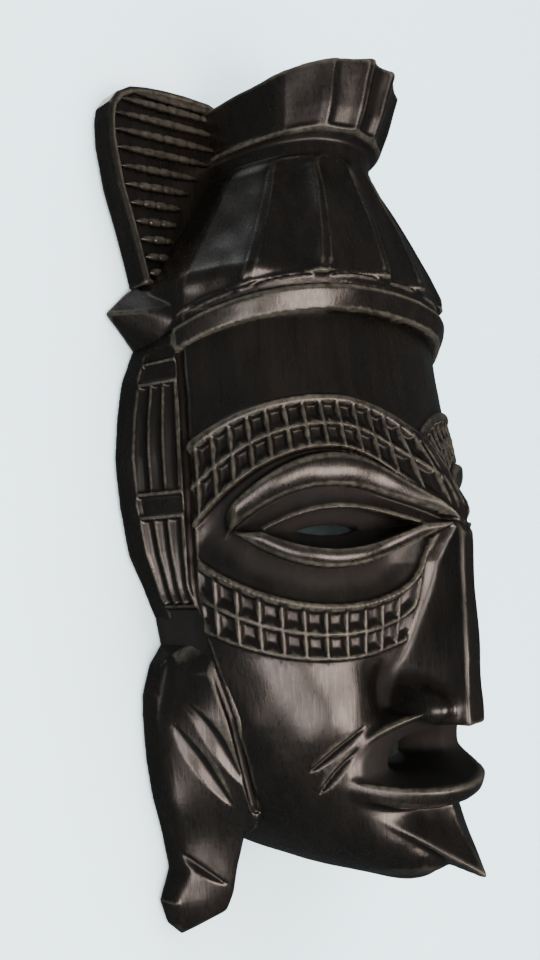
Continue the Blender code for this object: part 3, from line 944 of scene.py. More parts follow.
def flutes(angle: Grid, ridges: Sequence[float], fillet: float, depth: Grid | float) -> Grid:
    """Concave flutes between ridges.

    Args:
        angle: Angles from the centre line.
        ridges: Angle of each ridge, outwards.
        fillet: Half width of the flat on each ridge, in degrees.
        depth: Depth in the middle of a flute.

    Returns:
        Depths, 0 on the ridges.
    """
    edges = [-ridges[0], *ridges]
    total = np.zeros(np.broadcast(angle, depth).shape, dtype=np.float32)
    for start, end in zip(edges, edges[1:]):
        middle, half = (start + end) / 2.0, (end - start) / 2.0 - fillet
        share = np.abs(angle - middle) / half
        total = total + depth * np.clip(1.0 - share ** 2.4, 0.0, 1.0)
    return total


def band_centre(angle: Grid) -> Grid:
    """Level of the headband's middle, arched from side to side."""
    return 67.0 - 14.3 * (np.abs(angle) / 70.0) ** 2.6


def hair_relief(angle: Grid, z: Grid) -> Grid:
    """The headband's roll, the flutes of the hair, and the tie under the topknot."""
    centre = band_centre(angle)
    half, width = 5.4, 10.6
    crest, shoulder, proud = 0.74, 0.26, 4.9
    share = np.clip((z - centre + half) / width, 0.0, 1.0)
    present = soft_step(angle, 73.0, 70.5)
    under = proud - 1.3 * (np.maximum(crest - share, 0.0) / crest) ** 1.25
    over = proud * np.sqrt(np.clip(1.0 - ((share - crest) / shoulder) ** 2, 0.0, 1.0))
    roll = np.where(share < crest, under, over) * present
    scallop = centre + 9.2 + 1.0 * np.abs(np.sin(np.radians((angle - 9.5) * 8.6)))
    below = soft_step(z, scallop + 0.2, scallop - 1.2)
    cove = -0.6 * soft_step(z, centre + 3.6, centre + 5.8) * soft_step(angle, 64.0, 40.0)
    height = (roll + cove) * below
    drop = np.clip(centre - half - z, 0.0, 30.0)
    height = height - 9.0 * soft_step(drop, 0.0, 1.0)
    # Flutes of the cap run into the tie; those of the topknot start above it.
    above = 1.0 - below
    run = soft_step(z, 140.5, 133.0) * above
    scoop = 3.0 + 1.4 * bump(z, scallop + 3.0, 9.0) - 1.6 * soft_step(angle, 44.0, 62.0)
    cap = flutes(angle, (9.5, 31.0, 51.0, 70.0, 92.0), 1.3, scoop) * run
    lip = 0.9 * bump(z, scallop + 0.9, 0.9) * present
    knot_run = soft_step(z, 150.5, 153.5)
    knot_depth = 2.8 - 1.9 * soft_step(angle, 25.0, 36.0)
    knot = flutes(angle, (10.0, 32.5, 51.5), 1.9, knot_depth) * knot_run
    side = 1.5 * soft_step(angle, 53.0, 62.0) * knot_run
    return height + lip - cap - knot - side


@dataclass
class Hair:
    """Headband with its pointed ends, fluted hair, tie and topknot, with the hanger's recess."""

    carver: Carver
    step: float
    hanger: "Hanger"

    def build(self) -> bpy.types.Object:
        """Carve the hair and make its piece."""
        block = Block((self.step / 2, -93.0, 44.0), (100.5, 1.6, 192.0), self.step)
        block.add(HAIR.raised(block, hair_relief))
        across = np.minimum(np.abs(block.x) / 42.0, 1.3)
        crown = 172.5 + (1.0 - across ** 2) * (7.0 + 9.5 * (85.0 + block.y) / 85.0)
        block.keep((block.z - crown) * 0.93, 1.2)
        tip = ((98.4, 0.5, 67.0), (80, 0.5, 84), (82, 0.5, 50.5), (62, 0.5, 86), (62, 0.5, 50),
               (90.0, -15.0, 66.0), (80.0, -19.0, 51.5), (66, -42, 54), (66, -42, 70),
               (80, -6, 83.0), (66, -22, 86.0))
        block.add(convex(block, tip, 1.0), 1.0)
        deep = FACE.measure(block)[0] + 7.0
        block.cut(np.maximum(block.z - 60.5, deep))
        block.waver(HAND_WAVER)
        block.keep(block.y, 0.8)
        for cutter in self.hanger.recess(block):
            block.cut(cutter, 0.3)
        return self.carver.piece("mask_hair", block.whole())


@dataclass
class EarBoard:
    """The board beside the face, with fluted panels between plain bars."""

    carver: Carver
    step: float
    levels: tuple[float, ...] = (-76.0, -68.0, -52.0, -35.0, -15.0, 5.0, 22.0, 38.0, 54.0, 60.0)
    outer: tuple[float, ...] = (71.0, 76.0, 84.0, 90.5, 94.5, 95.6, 94.0, 90.5, 84.3, 81.0)
    bars: tuple[float, ...] = (44.0, 35.0, -11.0, -20.5, -57.0, -64.0, -72.5)
    panels: tuple[tuple[float, float], ...] = ((-11.0, 35.0), (-57.0, -20.5))

    def relief(self, share: Grid, z: Grid) -> Grid:
        """Height of the carved field at a share of its width, from the border inwards."""
        on = soft_step(share, 0.05, 0.10) * soft_step(share, 1.0, 0.93)
        low = np.full(np.broadcast(share, z).shape, -1.5, dtype=np.float32)
        for start, end in self.panels:
            inside = soft_step(z, start, start + 1.5) * soft_step(z, end, end - 1.5)
            wave = np.abs(np.sin(np.pi * (share - 0.06) / 0.29))
            low = low + inside * (1.35 - 2.1 * wave ** 0.8)
        for bar in self.bars:
            crest = np.clip(1.0 - np.abs(z - bar) / 1.5, 0.0, 1.0)
            low = low + (0.25 - low) * crest
        fade = soft_step(z, 51.0, 47.5) * soft_step(z, -75.5, -73.5)
        return low * on * fade

    def build(self, side: Side) -> bpy.types.Object:
        """Carve one board and make its piece."""
        block = Block((64.0, -39.0, -78.0), (98.0, 1.0, 60.0), self.step)
        x, y, z = block.x, block.y, block.z
        outer = np.interp(z.ravel(), self.levels, self.outer).reshape(z.shape)
        groove_x, groove_y = groove_line(block)
        ridge_x = np.minimum(groove_x + 1.9, outer - 1.0)
        ridge_y = groove_y + 1.0
        dx, dy = ridge_x - (outer - 1.2), ridge_y + 9.0
        length = np.hypot(dx, dy)
        nx, ny = -dy / length, dx / length
        away = (x - ridge_x) * nx + (y - ridge_y) * ny
        share = ((x - outer + 1.2) * dx + (y + 9.0) * dy) / length ** 2
        face = away - self.relief(share, z)
        block.add(np.broadcast_to(shared(x - outer, face, 1.6), block.wood.shape))
        block.keep(ridge_x - 9.0 - x)
        block.keep(ridge_y - y, 0.8)
        block.cut(tube_cut(block, GROOVE_RADIUS), 0.6)
        block.waver(0.18)
        block.keep(np.maximum(-74.0 - z, z - 58.0))
        block.keep(y + BACK_GAP)
        return self.carver.piece(f"ear_board_{side.word}", block, side is Side.RIGHT)


@dataclass
class Lock:
    """A lock of hair that hangs beside the jaw, with leaf cuts and a faceted tip."""

    carver: Carver
    step: float
    outline: tuple[tuple[float, float], ...] = (
        (71.5, -68), (77, -74), (82.5, -80), (86.8, -92), (87.4, -100), (86.2, -118), (83.8, -134),
        (79.5, -150), (77.0, -163), (82.4, -174), (79.0, -184), (71.5, -191.2), (63.5, -189.6),
        (61.5, -184), (59.4, -174), (57.8, -151.5), (50.3, -146.5), (52, -138), (60, -100),
        (64, -69))
    leaves: tuple[tuple[tuple[float, float], tuple[float, float], float], ...] = (
        ((82.5, -93.0), (61.0, -132.0), 3.3), ((85.0, -102.0), (65.0, -138.5), 3.3),
        ((80.0, -153.0), (63.5, -170.0), 2.6))
    leaf_depth: float = 2.6

    def front(self, x: Grid, z: Grid) -> Grid:
        """How far the front stands out, before the leaf cuts."""
        levels = (-190, -182, -174, -165, -150, -139, -102, -70, -60)
        outer, inner, most = (eased(z, levels, row, 9.0) for row in (
            (73, 78, 81.6, 77.5, 79.5, 83.8, 87.4, 78, 71),
            (61, 61, 60, 58.5, 58, 60.9, 72.9, 78.5, 79),
            (13.5, 18.0, 21.0, 24.0, 28, 31.0, 36.5, 31.0, 29)))
        share = np.clip((outer - x) / np.maximum(outer - inner, 6.0), 0.0, 1.15)
        return 10.5 + (most - 10.5) * share + 1.6 * np.sin(np.pi * np.minimum(share, 1.0))

    def build(self, side: Side) -> bpy.types.Object:
        """Carve one lock and make its piece."""
        block = Block((44.0, -42.0, -192.0), (91.0, 1.0, -58.0), self.step)
        x, y, z = block.x, block.y, block.z
        front = self.front(x, z)
        for (ax, az), (bx, bz), width in self.leaves:
            dx, dz = bx - ax, bz - az
            length = math.hypot(dx, dz)
            along = ((x - ax) * dx + (z - az) * dz) / length ** 2
            beside = ((x - ax) * dz - (z - az) * dx) / length
            belly = np.clip(1.0 - (2.0 * along - 1.0) ** 2, 0.0, 1.0)
            slope = np.where(beside > 0, beside / (width * 0.35), -beside / (width * 1.2))
            edge = np.clip(1.0 - slope / np.maximum(belly, 0.05), 0.0, 1.0)
            front = front - self.leaf_depth * belly * edge
        outline = polygon_distance(x, z, self.outline)
        block.add(shared(outline, (-y - front) * 0.8, 2.6))
        block.waver(0.2)
        facet = (z + 184.0) * -0.80 + (-y - 12.5) * 0.45
        block.keep(facet, 0.6)
        block.cut(tube_cut(block, GROOVE_RADIUS), 0.6)
        block.keep(y + BACK_GAP)
        return self.carver.piece(f"hanging_lock_{side.word}", block, side is Side.RIGHT)


@dataclass
class Fin:
    """The flat fin beside the hair, its field sunk between a smooth rim and the ribs."""

    carver: Carver
    step: float
    thickness: float = 12.0
    outline: tuple[tuple[float, float], ...] = (
        (99.6, 150), (99.4, 140), (96, 121), (90.5, 104), (86.5, 90), (84, 80), (66, 76),
        (50, 90), (36, 120), (30, 150), (26, 176), (40, 177.8), (55, 176), (68, 173.6),
        (78, 171.2), (87, 168.2), (94, 163.2), (98.3, 157))
    left_ends: tuple[tuple[float, float], ...] = (
        (86.0, 166.0), (94.0, 160.5), (97.0, 153.0), (97.0, 145.5), (95.8, 137.8), (93.9, 130.0),
        (92.0, 122.4), (89.9, 114.8), (87.5, 107.2), (85.2, 99.7), (82.8, 92.3), (81.0, 85.6))
    right_ends: tuple[float, ...] = (33.0, 31.0, 31.0, 34.0, 40.0, 48.0, 54.0, 59.0, 63.0, 66.0,
                                     68.5, 72.0)
    slope: float = 0.16
    rib_sink: float = 1.7
    rib_wear: float = 0.60

    def build(self, side: Side) -> bpy.types.Object:
        """Carve one fin and make its piece."""
        block = Block((24.0, -15.0, 74.0), (101.0, 1.0, 180.0), self.step)
        x, y, z = block.x, block.y, block.z
        outline = polygon_distance(x, z, self.outline)
        field_depth = 2.4 * soft_step(outline, -2.4, -4.4)
        block.add(shared(outline, -y - (self.thickness - field_depth), 2.6))
        block.keep(y + BACK_GAP)
        return self.carver.piece(f"fin_{side.word}", block, side is Side.RIGHT)

    def ribs(self, side: Side) -> bpy.types.Object:
        """Lens-shaped ribs across the field, swept along guide lines by geometry nodes."""
        guides = []
        for (x, z), inner in zip(self.left_ends, self.right_ends):
            rise = self.slope * (x - inner)
            guides.append(((side.value * x, z), (side.value * inner, z + rise)))
        level = -(self.thickness - self.rib_sink)
        points, edges = [], []
        for start, end in guides:
            first = len(points)
            for share in (0.0, 1.0):
                points.append((start[0] + (end[0] - start[0]) * share, level,
                               start[1] + (end[1] - start[1]) * share))
            edges.append((first, first + 1))
        placed = self.carver.placement.to_world(np.array(points))
        obj = Sweep(self.carver.wood).make(f"fin_ribs_{side.word}", placed, edges)
        depth = -point_rows(obj.data, "co")[:, 1] / MM
        store(obj.data, "wear", self.rib_wear * soft_step(depth, -level - 0.4, -level + 1.9))
        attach(obj, "mask")
        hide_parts("carved_mask")
        return obj


class TreeMaker:
    """Adds nodes to a tree and links them, so that a tree reads as one line a node."""

    def __init__(self, tree: bpy.types.NodeTree) -> None:
        """Start on a tree."""
        self.tree = tree

    def add(self, kind: str, inputs: dict | None = None, **settings) -> bpy.types.Node:
        """Add a node.

        Args:
            kind: The node's type name.
            inputs: Values, or output sockets to link, by input name or number.
            settings: The node's own properties.

        Returns:
            The new node.
        """
        node = self.tree.nodes.new(kind)
        for name, value in settings.items():
            setattr(node, name, value)
        for key, value in (inputs or {}).items():
            if isinstance(value, bpy.types.NodeSocket):
                self.tree.links.new(value, node.inputs[key])
            else:
                node.inputs[key].default_value = value
        return node

    def math(self, operation: str, *values) -> bpy.types.NodeSocket:
        """Add a Math node and return its result."""
        kind = "ShaderNodeMath"
        node = self.add(kind, dict(enumerate(values)), operation=operation)
        return node.outputs[0]

    def ramp(self, factor, *stops: tuple[float, tuple[float, float, float]]):
        """Add a colour ramp with given stops and return its colour."""
        node = self.add("ShaderNodeValToRGB", {0: factor})
        for index, (place, color) in enumerate(stops):
            if index > 1:
                node.color_ramp.elements.new(place)
            stop = node.color_ramp.elements[index]
            stop.position, stop.color = place, (*color, 1.0)
        return node.outputs[0]

    def range(self, value, low: float, high: float, start: float, end: float):
        """Map a value from one range to another, held at both ends."""
        node = self.add("ShaderNodeMapRange", {0: value, 1: low, 2: high, 3: start, 4: end})
        return node.outputs[0]

    def noise(self, place, scale: float, detail: float, roughness: float = 0.5):
        """Add a noise texture and return its value."""
        return self.add("ShaderNodeTexNoise", {"Vector": place, "Scale": scale, "Detail": detail,
                                               "Roughness": roughness}).outputs[0]

    def attribute(self, name: str):
        """Read a number that the mesh holds at each point."""
        return self.add("ShaderNodeAttribute", attribute_name=name).outputs["Fac"]

    def link(self, value, socket: bpy.types.NodeSocket) -> None:
        """Link a value to a socket."""
        self.tree.links.new(value, socket)

    def finish(self, geometry, material: bpy.types.Material) -> None:
        """End a geometry tree with real geometry in one material."""
        real = self.add("GeometryNodeRealizeInstances", {0: geometry})
        dressed = self.add("GeometryNodeSetMaterial", {"Geometry": real.outputs[0],
                                                       "Material": material})
        self.add("NodeGroupOutput", {0: dressed.outputs[0]})


def new_material(name: str) -> tuple[bpy.types.Material, TreeMaker, bpy.types.Node]:
    """Make a material, with a maker for its tree and its surface shader."""
    material = bpy.data.materials.new(name)
    material.use_nodes = True
    tree = material.node_tree
    return material, TreeMaker(tree), tree.nodes["Principled BSDF"]


def geometry_tree(name: str, inputs: dict[str, str]) -> tuple[TreeMaker, Sequence]:
    """Start a geometry tree.

    Args:
        name: Name of the tree.
        inputs: The kind of each input that follows the geometry, by its name.

    Returns:
        A maker for the tree, and the sockets that its inputs arrive at.
    """
    tree = bpy.data.node_groups.new(name, "GeometryNodeTree")
    face = tree.interface
    face.new_socket("Geometry", in_out="OUTPUT", socket_type="NodeSocketGeometry")
    face.new_socket("Geometry", in_out="INPUT", socket_type="NodeSocketGeometry")
    for label, kind in inputs.items():
        face.new_socket(label, in_out="INPUT", socket_type=f"NodeSocket{kind}")
    make = TreeMaker(tree)
    return make, make.add("NodeGroupInput").outputs


def run_tree(obj: bpy.types.Object, tree: bpy.types.NodeTree, values: dict) -> bpy.types.Object:
    """Run a geometry tree on an object, and keep what it makes as the object's plain mesh.

    Args:
        obj: The object.
        tree: The geometry tree.
        values: What each named input is set to.

    Returns:
        The same object.
    """
    modifier = obj.modifiers.new("shape", "NODES")
    modifier.node_group = tree
    for item in tree.interface.items_tree:
        if item.in_out == "INPUT" and item.name in values:
            modifier[item.identifier] = values[item.name]
    return baked(obj)


@dataclass
class Sweep:
    """Geometry nodes that sweep a round bar along guide lines, thick or pointed at the ends."""

    material: bpy.types.Material
    radius: float = 2.05 * MM
    count: int = 40
    sides: int = 14
    pointed: float = 0.45
    notch: float = 7.0 * MM
    notch_depth: float = 0.24

    def tree(self) -> bpy.types.NodeTree:
        """Build the tree, with its sizes as named inputs."""
        make, given = geometry_tree("round_bar_sweep", {
            "Radius": "Float", "Pointed": "Float", "Notch Pitch": "Float", "Notch Depth": "Float",
            "Count": "Int", "Sides": "Int"})
        curve = make.add("GeometryNodeMeshToCurve", {"Mesh": given["Geometry"]})
        fine = make.add("GeometryNodeResampleCurve", {"Curve": curve.outputs[0],
                                                      "Count": given["Count"]})
        along = make.add("GeometryNodeSplineParameter")
        share = along.outputs["Factor"]
        swell = make.math("MULTIPLY", make.math("MULTIPLY", share, 4.0),
                          make.math("SUBTRACT", 1.0, share))
        swell = make.math("POWER", make.math("MAXIMUM", swell, 0.004), given["Pointed"])
        turn = make.math("DIVIDE", along.outputs["Length"], given["Notch Pitch"])
        wave = make.math("COSINE", make.math("MULTIPLY", turn, 2.0 * math.pi))
        dip = make.math("POWER", make.math("MULTIPLY_ADD", wave, 0.5, 0.5), 8.0)
        dip = make.math("SUBTRACT", 1.0, make.math("MULTIPLY", dip, given["Notch Depth"]))
        size = make.math("MULTIPLY", make.math("MULTIPLY", swell, dip), given["Radius"])
        ring = make.add("GeometryNodeCurvePrimitiveCircle", {"Resolution": given["Sides"],
                                                             "Radius": 1.0})
        bar = make.add("GeometryNodeCurveToMesh", {
            "Curve": fine.outputs[0], "Profile Curve": ring.outputs[0], "Fill Caps": True})
        if "Scale" in bar.inputs:
            make.link(size, bar.inputs["Scale"])
        else:
            sized = make.add("GeometryNodeSetCurveRadius", {"Curve": fine.outputs[0],
                                                            "Radius": size})
            make.link(sized.outputs[0], bar.inputs["Curve"])
        smooth = make.add("GeometryNodeSetShadeSmooth", {"Geometry": bar.outputs[0]})
        make.finish(smooth.outputs[0], self.material)
        return make.tree

    def make(self, name: str, points: Grid, edges: Sequence[tuple[int, int]]) -> bpy.types.Object:
        """Sweep the bar along guide lines.

        Args:
            name: Name of the piece.
            points: Guide points in metres.
            edges: Pairs of point numbers.

        Returns:
            The piece as a plain mesh.
        """
        mesh = bpy.data.meshes.new(name)
        mesh.from_pydata([tuple(point) for point in points], list(edges), [])
        return run_tree(new_object(name, mesh), self.tree(), {
            "Radius": self.radius, "Pointed": self.pointed, "Notch Pitch": self.notch,
            "Notch Depth": self.notch_depth, "Count": self.count, "Sides": self.sides})


@dataclass(frozen=True)
class StainedWood:
    """Close-grained wood under a black-brown stain and wax, rubbed brown on its edges."""

    dark: tuple[float, float, float] = (0.0028, 0.0024, 0.0018)
    warm: tuple[float, float, float] = (0.0060, 0.0038, 0.0026)
    worn: tuple[float, float, float] = (0.048, 0.039, 0.027)
    raw: tuple[float, float, float] = (0.036, 0.024, 0.016)

    def material(self) -> bpy.types.Material:
        """Build the material."""
        material, make, shader = new_material("stained_waxed_wood")
        place = make.add("ShaderNodeTexCoord").outputs["Object"]
        along = make.add("ShaderNodeMapping", {"Vector": place, "Scale": (1.0, 1.0, 0.07)})
        grain = make.noise(along.outputs[0], 900.0, 5.0, 0.62)
        streak = make.noise(along.outputs[0], 170.0, 4.0, 0.55)
        cloud = make.noise(place, 26.0, 4.0, 0.6)
        fine = make.noise(place, 420.0, 4.0)
        wear, cavity = make.attribute("wear"), make.attribute("cavity")
        inside, deep = make.attribute("inside"), make.attribute("deep")
        tone = make.math("ADD", make.math("MULTIPLY", streak, 0.55),
                         make.math("MULTIPLY", cloud, 0.45))
        color = make.ramp(tone, (0.40, self.dark), (0.66, self.warm))
        rub = make.math("MULTIPLY", make.range(wear, 0.25, 0.80, 0.0, 1.0),
                        make.range(fine, 0.30, 0.62, 0.25, 1.0))
        rub = make.math("MULTIPLY", rub, make.range(cloud, 0.36, 0.60, 0.45, 1.0))
        # Painted shade: deep in the openings the worn colour is left out, so they stay dark.
        rub = make.math("MULTIPLY", rub, make.math("SUBTRACT", 1.0, deep))
        edge = make.add("ShaderNodeMix", {"Factor": rub, "A": color, "B": (*self.worn, 1.0)},
                        data_type="RGBA")
        edge_color = [out for out in edge.outputs if out.type == "RGBA"][0]
        rawness = make.math("MULTIPLY", inside, make.range(streak, 0.3, 0.7, 0.55, 1.0))
        bare = make.add("ShaderNodeMix", {"Factor": rawness, "B": (*self.raw, 1.0)},
                        data_type="RGBA")
        make.link(edge_color, [s for s in bare.inputs if s.type == "RGBA"][0])
        bare_color = [out for out in bare.outputs if out.type == "RGBA"][0]
        make.link(bare_color, shader.inputs["Base Color"])
        rough = make.range(grain, 0.30, 0.70, 0.24, 0.35)
        rough = make.math("ADD", rough, make.math("MULTIPLY", cavity, 0.16))
        rough = make.math("ADD", rough, make.math("MULTIPLY", rub, 0.16))
        rough = make.math("MAXIMUM", rough, make.math("MULTIPLY", inside, 0.62))
        rough = make.math("ADD", rough, make.math("MULTIPLY", deep, 0.5))
        make.link(rough, shader.inputs["Roughness"])
        relief = make.math("ADD", make.math("MULTIPLY", grain, 0.5),
                           make.math("MULTIPLY", fine, 0.35))
        bump = make.add("ShaderNodeBump", {"Height": relief, "Strength": 0.35,
                                           "Distance": 0.00035})
        make.link(bump.outputs[0], shader.inputs["Normal"])
        return material


@dataclass(frozen=True)
class ZincPlate:
    """Dull zinc plate on small steel hardware."""

    color: tuple[float, float, float] = (0.52, 0.51, 0.47)

    def material(self) -> bpy.types.Material:
        """Build the material."""
        material, make, shader = new_material("dull_zinc_plate")
        shader.inputs["Metallic"].default_value = 1.0
        place = make.add("ShaderNodeTexCoord").outputs["Object"]
        patch = make.add("ShaderNodeTexVoronoi", {"Vector": place, "Scale": 1400.0}).outputs[1]
        patch = make.add("ShaderNodeRGBToBW", {0: patch}).outputs[0]
        cloud = make.noise(place, 320.0, 5.0)
        shade = make.math("ADD", make.math("MULTIPLY", patch, 0.35),
                          make.math("MULTIPLY", cloud, 0.65))
        darker = tuple(0.55 * part for part in self.color)
        color = make.ramp(shade, (0.30, darker), (0.66, self.color))
        make.link(color, shader.inputs["Base Color"])
        make.link(make.range(cloud, 0.3, 0.7, 0.32, 0.52), shader.inputs["Roughness"])
        bump = make.add("ShaderNodeBump", {"Height": cloud, "Strength": 0.15, "Distance": 0.0002})
        make.link(bump.outputs[0], shader.inputs["Normal"])
        return material


@dataclass
class Hanger:
    """Ring, strap and screws behind the hair; sizes in millimetres, heights in the frame."""

    steel: bpy.types.Material
    placement: Placement
    axis_level: float = -14.0
    axis_depth: float = 3.8
    wire: float = 2.0
    inner_width: float = 17.0
    inner_height: float = 14.0
    strap_half: float = 6.0
    strap_face: float = -5.1
    strap_thickness: float = 1.0
    strap_drop: float = 25.2
    screw_drops: tuple[float, float] = (8.0, 21.1)
    recess_half: float = 13.5
    recess_depth: float = 6.4
    recess_top: float = 6.0
    recess_bottom: float = -42.2
    pilot_radius: float = 1.7
    pilot_depth: float = 18.7

    def recess(self, block: Block) -> list[Grid]:
        """Distances from the chiselled recess and its pilot holes."""
        datum = self.placement.datum / MM
        z = block.z + datum
        x, y = np.abs(block.x), block.y
        box = np.maximum(np.maximum(x - self.recess_half, -self.recess_depth - y),
                         np.maximum(z - self.recess_top, self.recess_bottom - z))
        cutters = [box.astype(np.float32)]
        for drop in self.screw_drops:
            hole = np.hypot(x, z - self.axis_level + drop) - self.pilot_radius
            cutters.append(np.maximum(hole, -self.pilot_depth - y).astype(np.float32))
        return cutters

    def dress(self, obj: bpy.types.Object, body: str, *nodes: str) -> bpy.types.Object:
        """Give a finished piece its steel, its body and the nodes it stands for."""
        obj.data.materials.clear()
        obj.data.materials.append(self.steel)
        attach(obj, body)
        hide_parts(*nodes)
        return obj

    def ring(self) -> bpy.types.Object:
        """The D-shaped wire ring, swept along its path."""
        half = (self.inner_width + self.wire) / 2
        drop = self.inner_height + self.wire
        corner = 3.0
        path = [(half - corner + corner * math.sin(turn), -corner + corner * math.cos(turn))
                for turn in np.linspace(0, math.pi / 2, 10)]
        bow = [(half * math.cos(turn), -drop + half * (1 - math.sin(turn)))
               for turn in np.linspace(0, math.pi, 40)]
        path += bow + [(-x, z) for x, z in reversed(path)]
        lowest = min(z for _, z in path)
        stretch = (drop - corner) / (-lowest - corner)
        path = [(x, z if z > -corner else -corner + (z + corner) * stretch) for x, z in path]
        points = np.array([(x, -self.axis_depth, self.axis_level + z) for x, z in path]) * MM
        count = len(points)
        edges = [(index, (index + 1) % count) for index in range(count)]
        sweep = Sweep(self.steel, radius=self.wire / 2 * MM, count=150, sides=16, pointed=0.0,
                      notch_depth=0.0)
        obj = sweep.make("hanging_ring", points, edges)
        return self.dress(obj, "ring", "hanger_ring")

    def strap(self) -> bpy.types.Object:
        """The strap: flat on the recess floor, curled round the ring's bar."""
        outer = self.wire / 2 + 0.3 + self.strap_thickness
        path = [(self.strap_face - self.strap_thickness, self.axis_level - self.strap_drop)]
        path.append((self.strap_face - self.strap_thickness, self.axis_level - 16.0))
        for turn in np.radians(np.linspace(180, -108, 37)):
            path.append((-self.axis_depth + outer * math.cos(turn),
                         self.axis_level + outer * math.sin(turn)))
        work = bmesh.new()
        rows = []
        for x in np.linspace(-self.strap_half, self.strap_half, 7):
            rows.append([work.verts.new((x * MM, y * MM, z * MM)) for y, z in path])
        for row, over in zip(rows, rows[1:]):
            for index in range(len(path) - 1):
                work.faces.new((row[index], over[index], over[index + 1], row[index + 1]))
        mesh = bpy.data.meshes.new("hanger_strap_plate")
        work.to_mesh(mesh)
        work.free()
        obj = new_object("hanger_strap_plate", mesh)
        wall = obj.modifiers.new("wall", "SOLIDIFY")
        wall.thickness, wall.offset = self.strap_thickness * MM, -1.0
        edge = obj.modifiers.new("edge", "BEVEL")
        edge.width, edge.segments, edge.limit_method = 0.18 * MM, 2, "ANGLE"
        baked(obj)
        obj.data.shade_smooth()
        obj.data.set_sharp_from_angle(angle=math.radians(40))
        return self.dress(obj, "mask", "hanger_strap")

    def screws(self) -> bpy.types.Object:
        """Two slotted round-head wood screws, set on their points by geometry nodes."""
        work = Block((-3.6, -9.0, -3.6), (3.6, 2.4, 3.6), 0.16)
        across = np.hypot(work.x, work.z)
        dome = np.sqrt(across ** 2 + (work.y + 2.2) ** 2) - 3.8
        head = shared(shared(dome, -work.y, 0.2), across - 3.0, 0.3)
        turn = np.arctan2(work.z, work.x)
        thread = 0.22 * np.cos(turn + work.y * 2.0 * math.pi / 1.3)
        shank = np.maximum(across - 1.15 - thread, np.maximum(work.y, -8.6 - work.y))
        work.add(head.astype(np.float32))
        work.cut(np.maximum(np.abs(work.z - 0.25 * work.x) - 0.38, 0.75 - work.y), 0.1)
        work.add(shank.astype(np.float32))
        points, faces = work.surface()
        pattern = mesh_object("screw_pattern", points * MM, faces)
        mesh = bpy.data.meshes.new("hanger_screws")
        mesh.from_pydata([(0.0, self.strap_face * MM, (self.axis_level - drop) * MM)
                          for drop in self.screw_drops], [], [])
        obj = new_object("hanger_screws", mesh)
        make, given = geometry_tree("screws_on_points", {"Screw": "Object"})
        shape = make.add("GeometryNodeObjectInfo", {"Object": given["Screw"]})
        turned = make.add("FunctionNodeRandomValue", {
            "Min": (0.0, 0.3, 0.0), "Max": (0.0, 1.4, 0.0), "Seed": 3}, data_type="FLOAT_VECTOR")
        placed = make.add("GeometryNodeInstanceOnPoints", {
            "Points": given["Geometry"], "Instance": shape.outputs["Geometry"],
            "Rotation": turned.outputs[0]})
        make.finish(placed.outputs[0], self.steel)
        run_tree(obj, make.tree, {"Screw": pattern})
        bpy.data.objects.remove(pattern)
        return self.dress(obj, "mask", "hanger_screw_lower", "hanger_screw_upper")


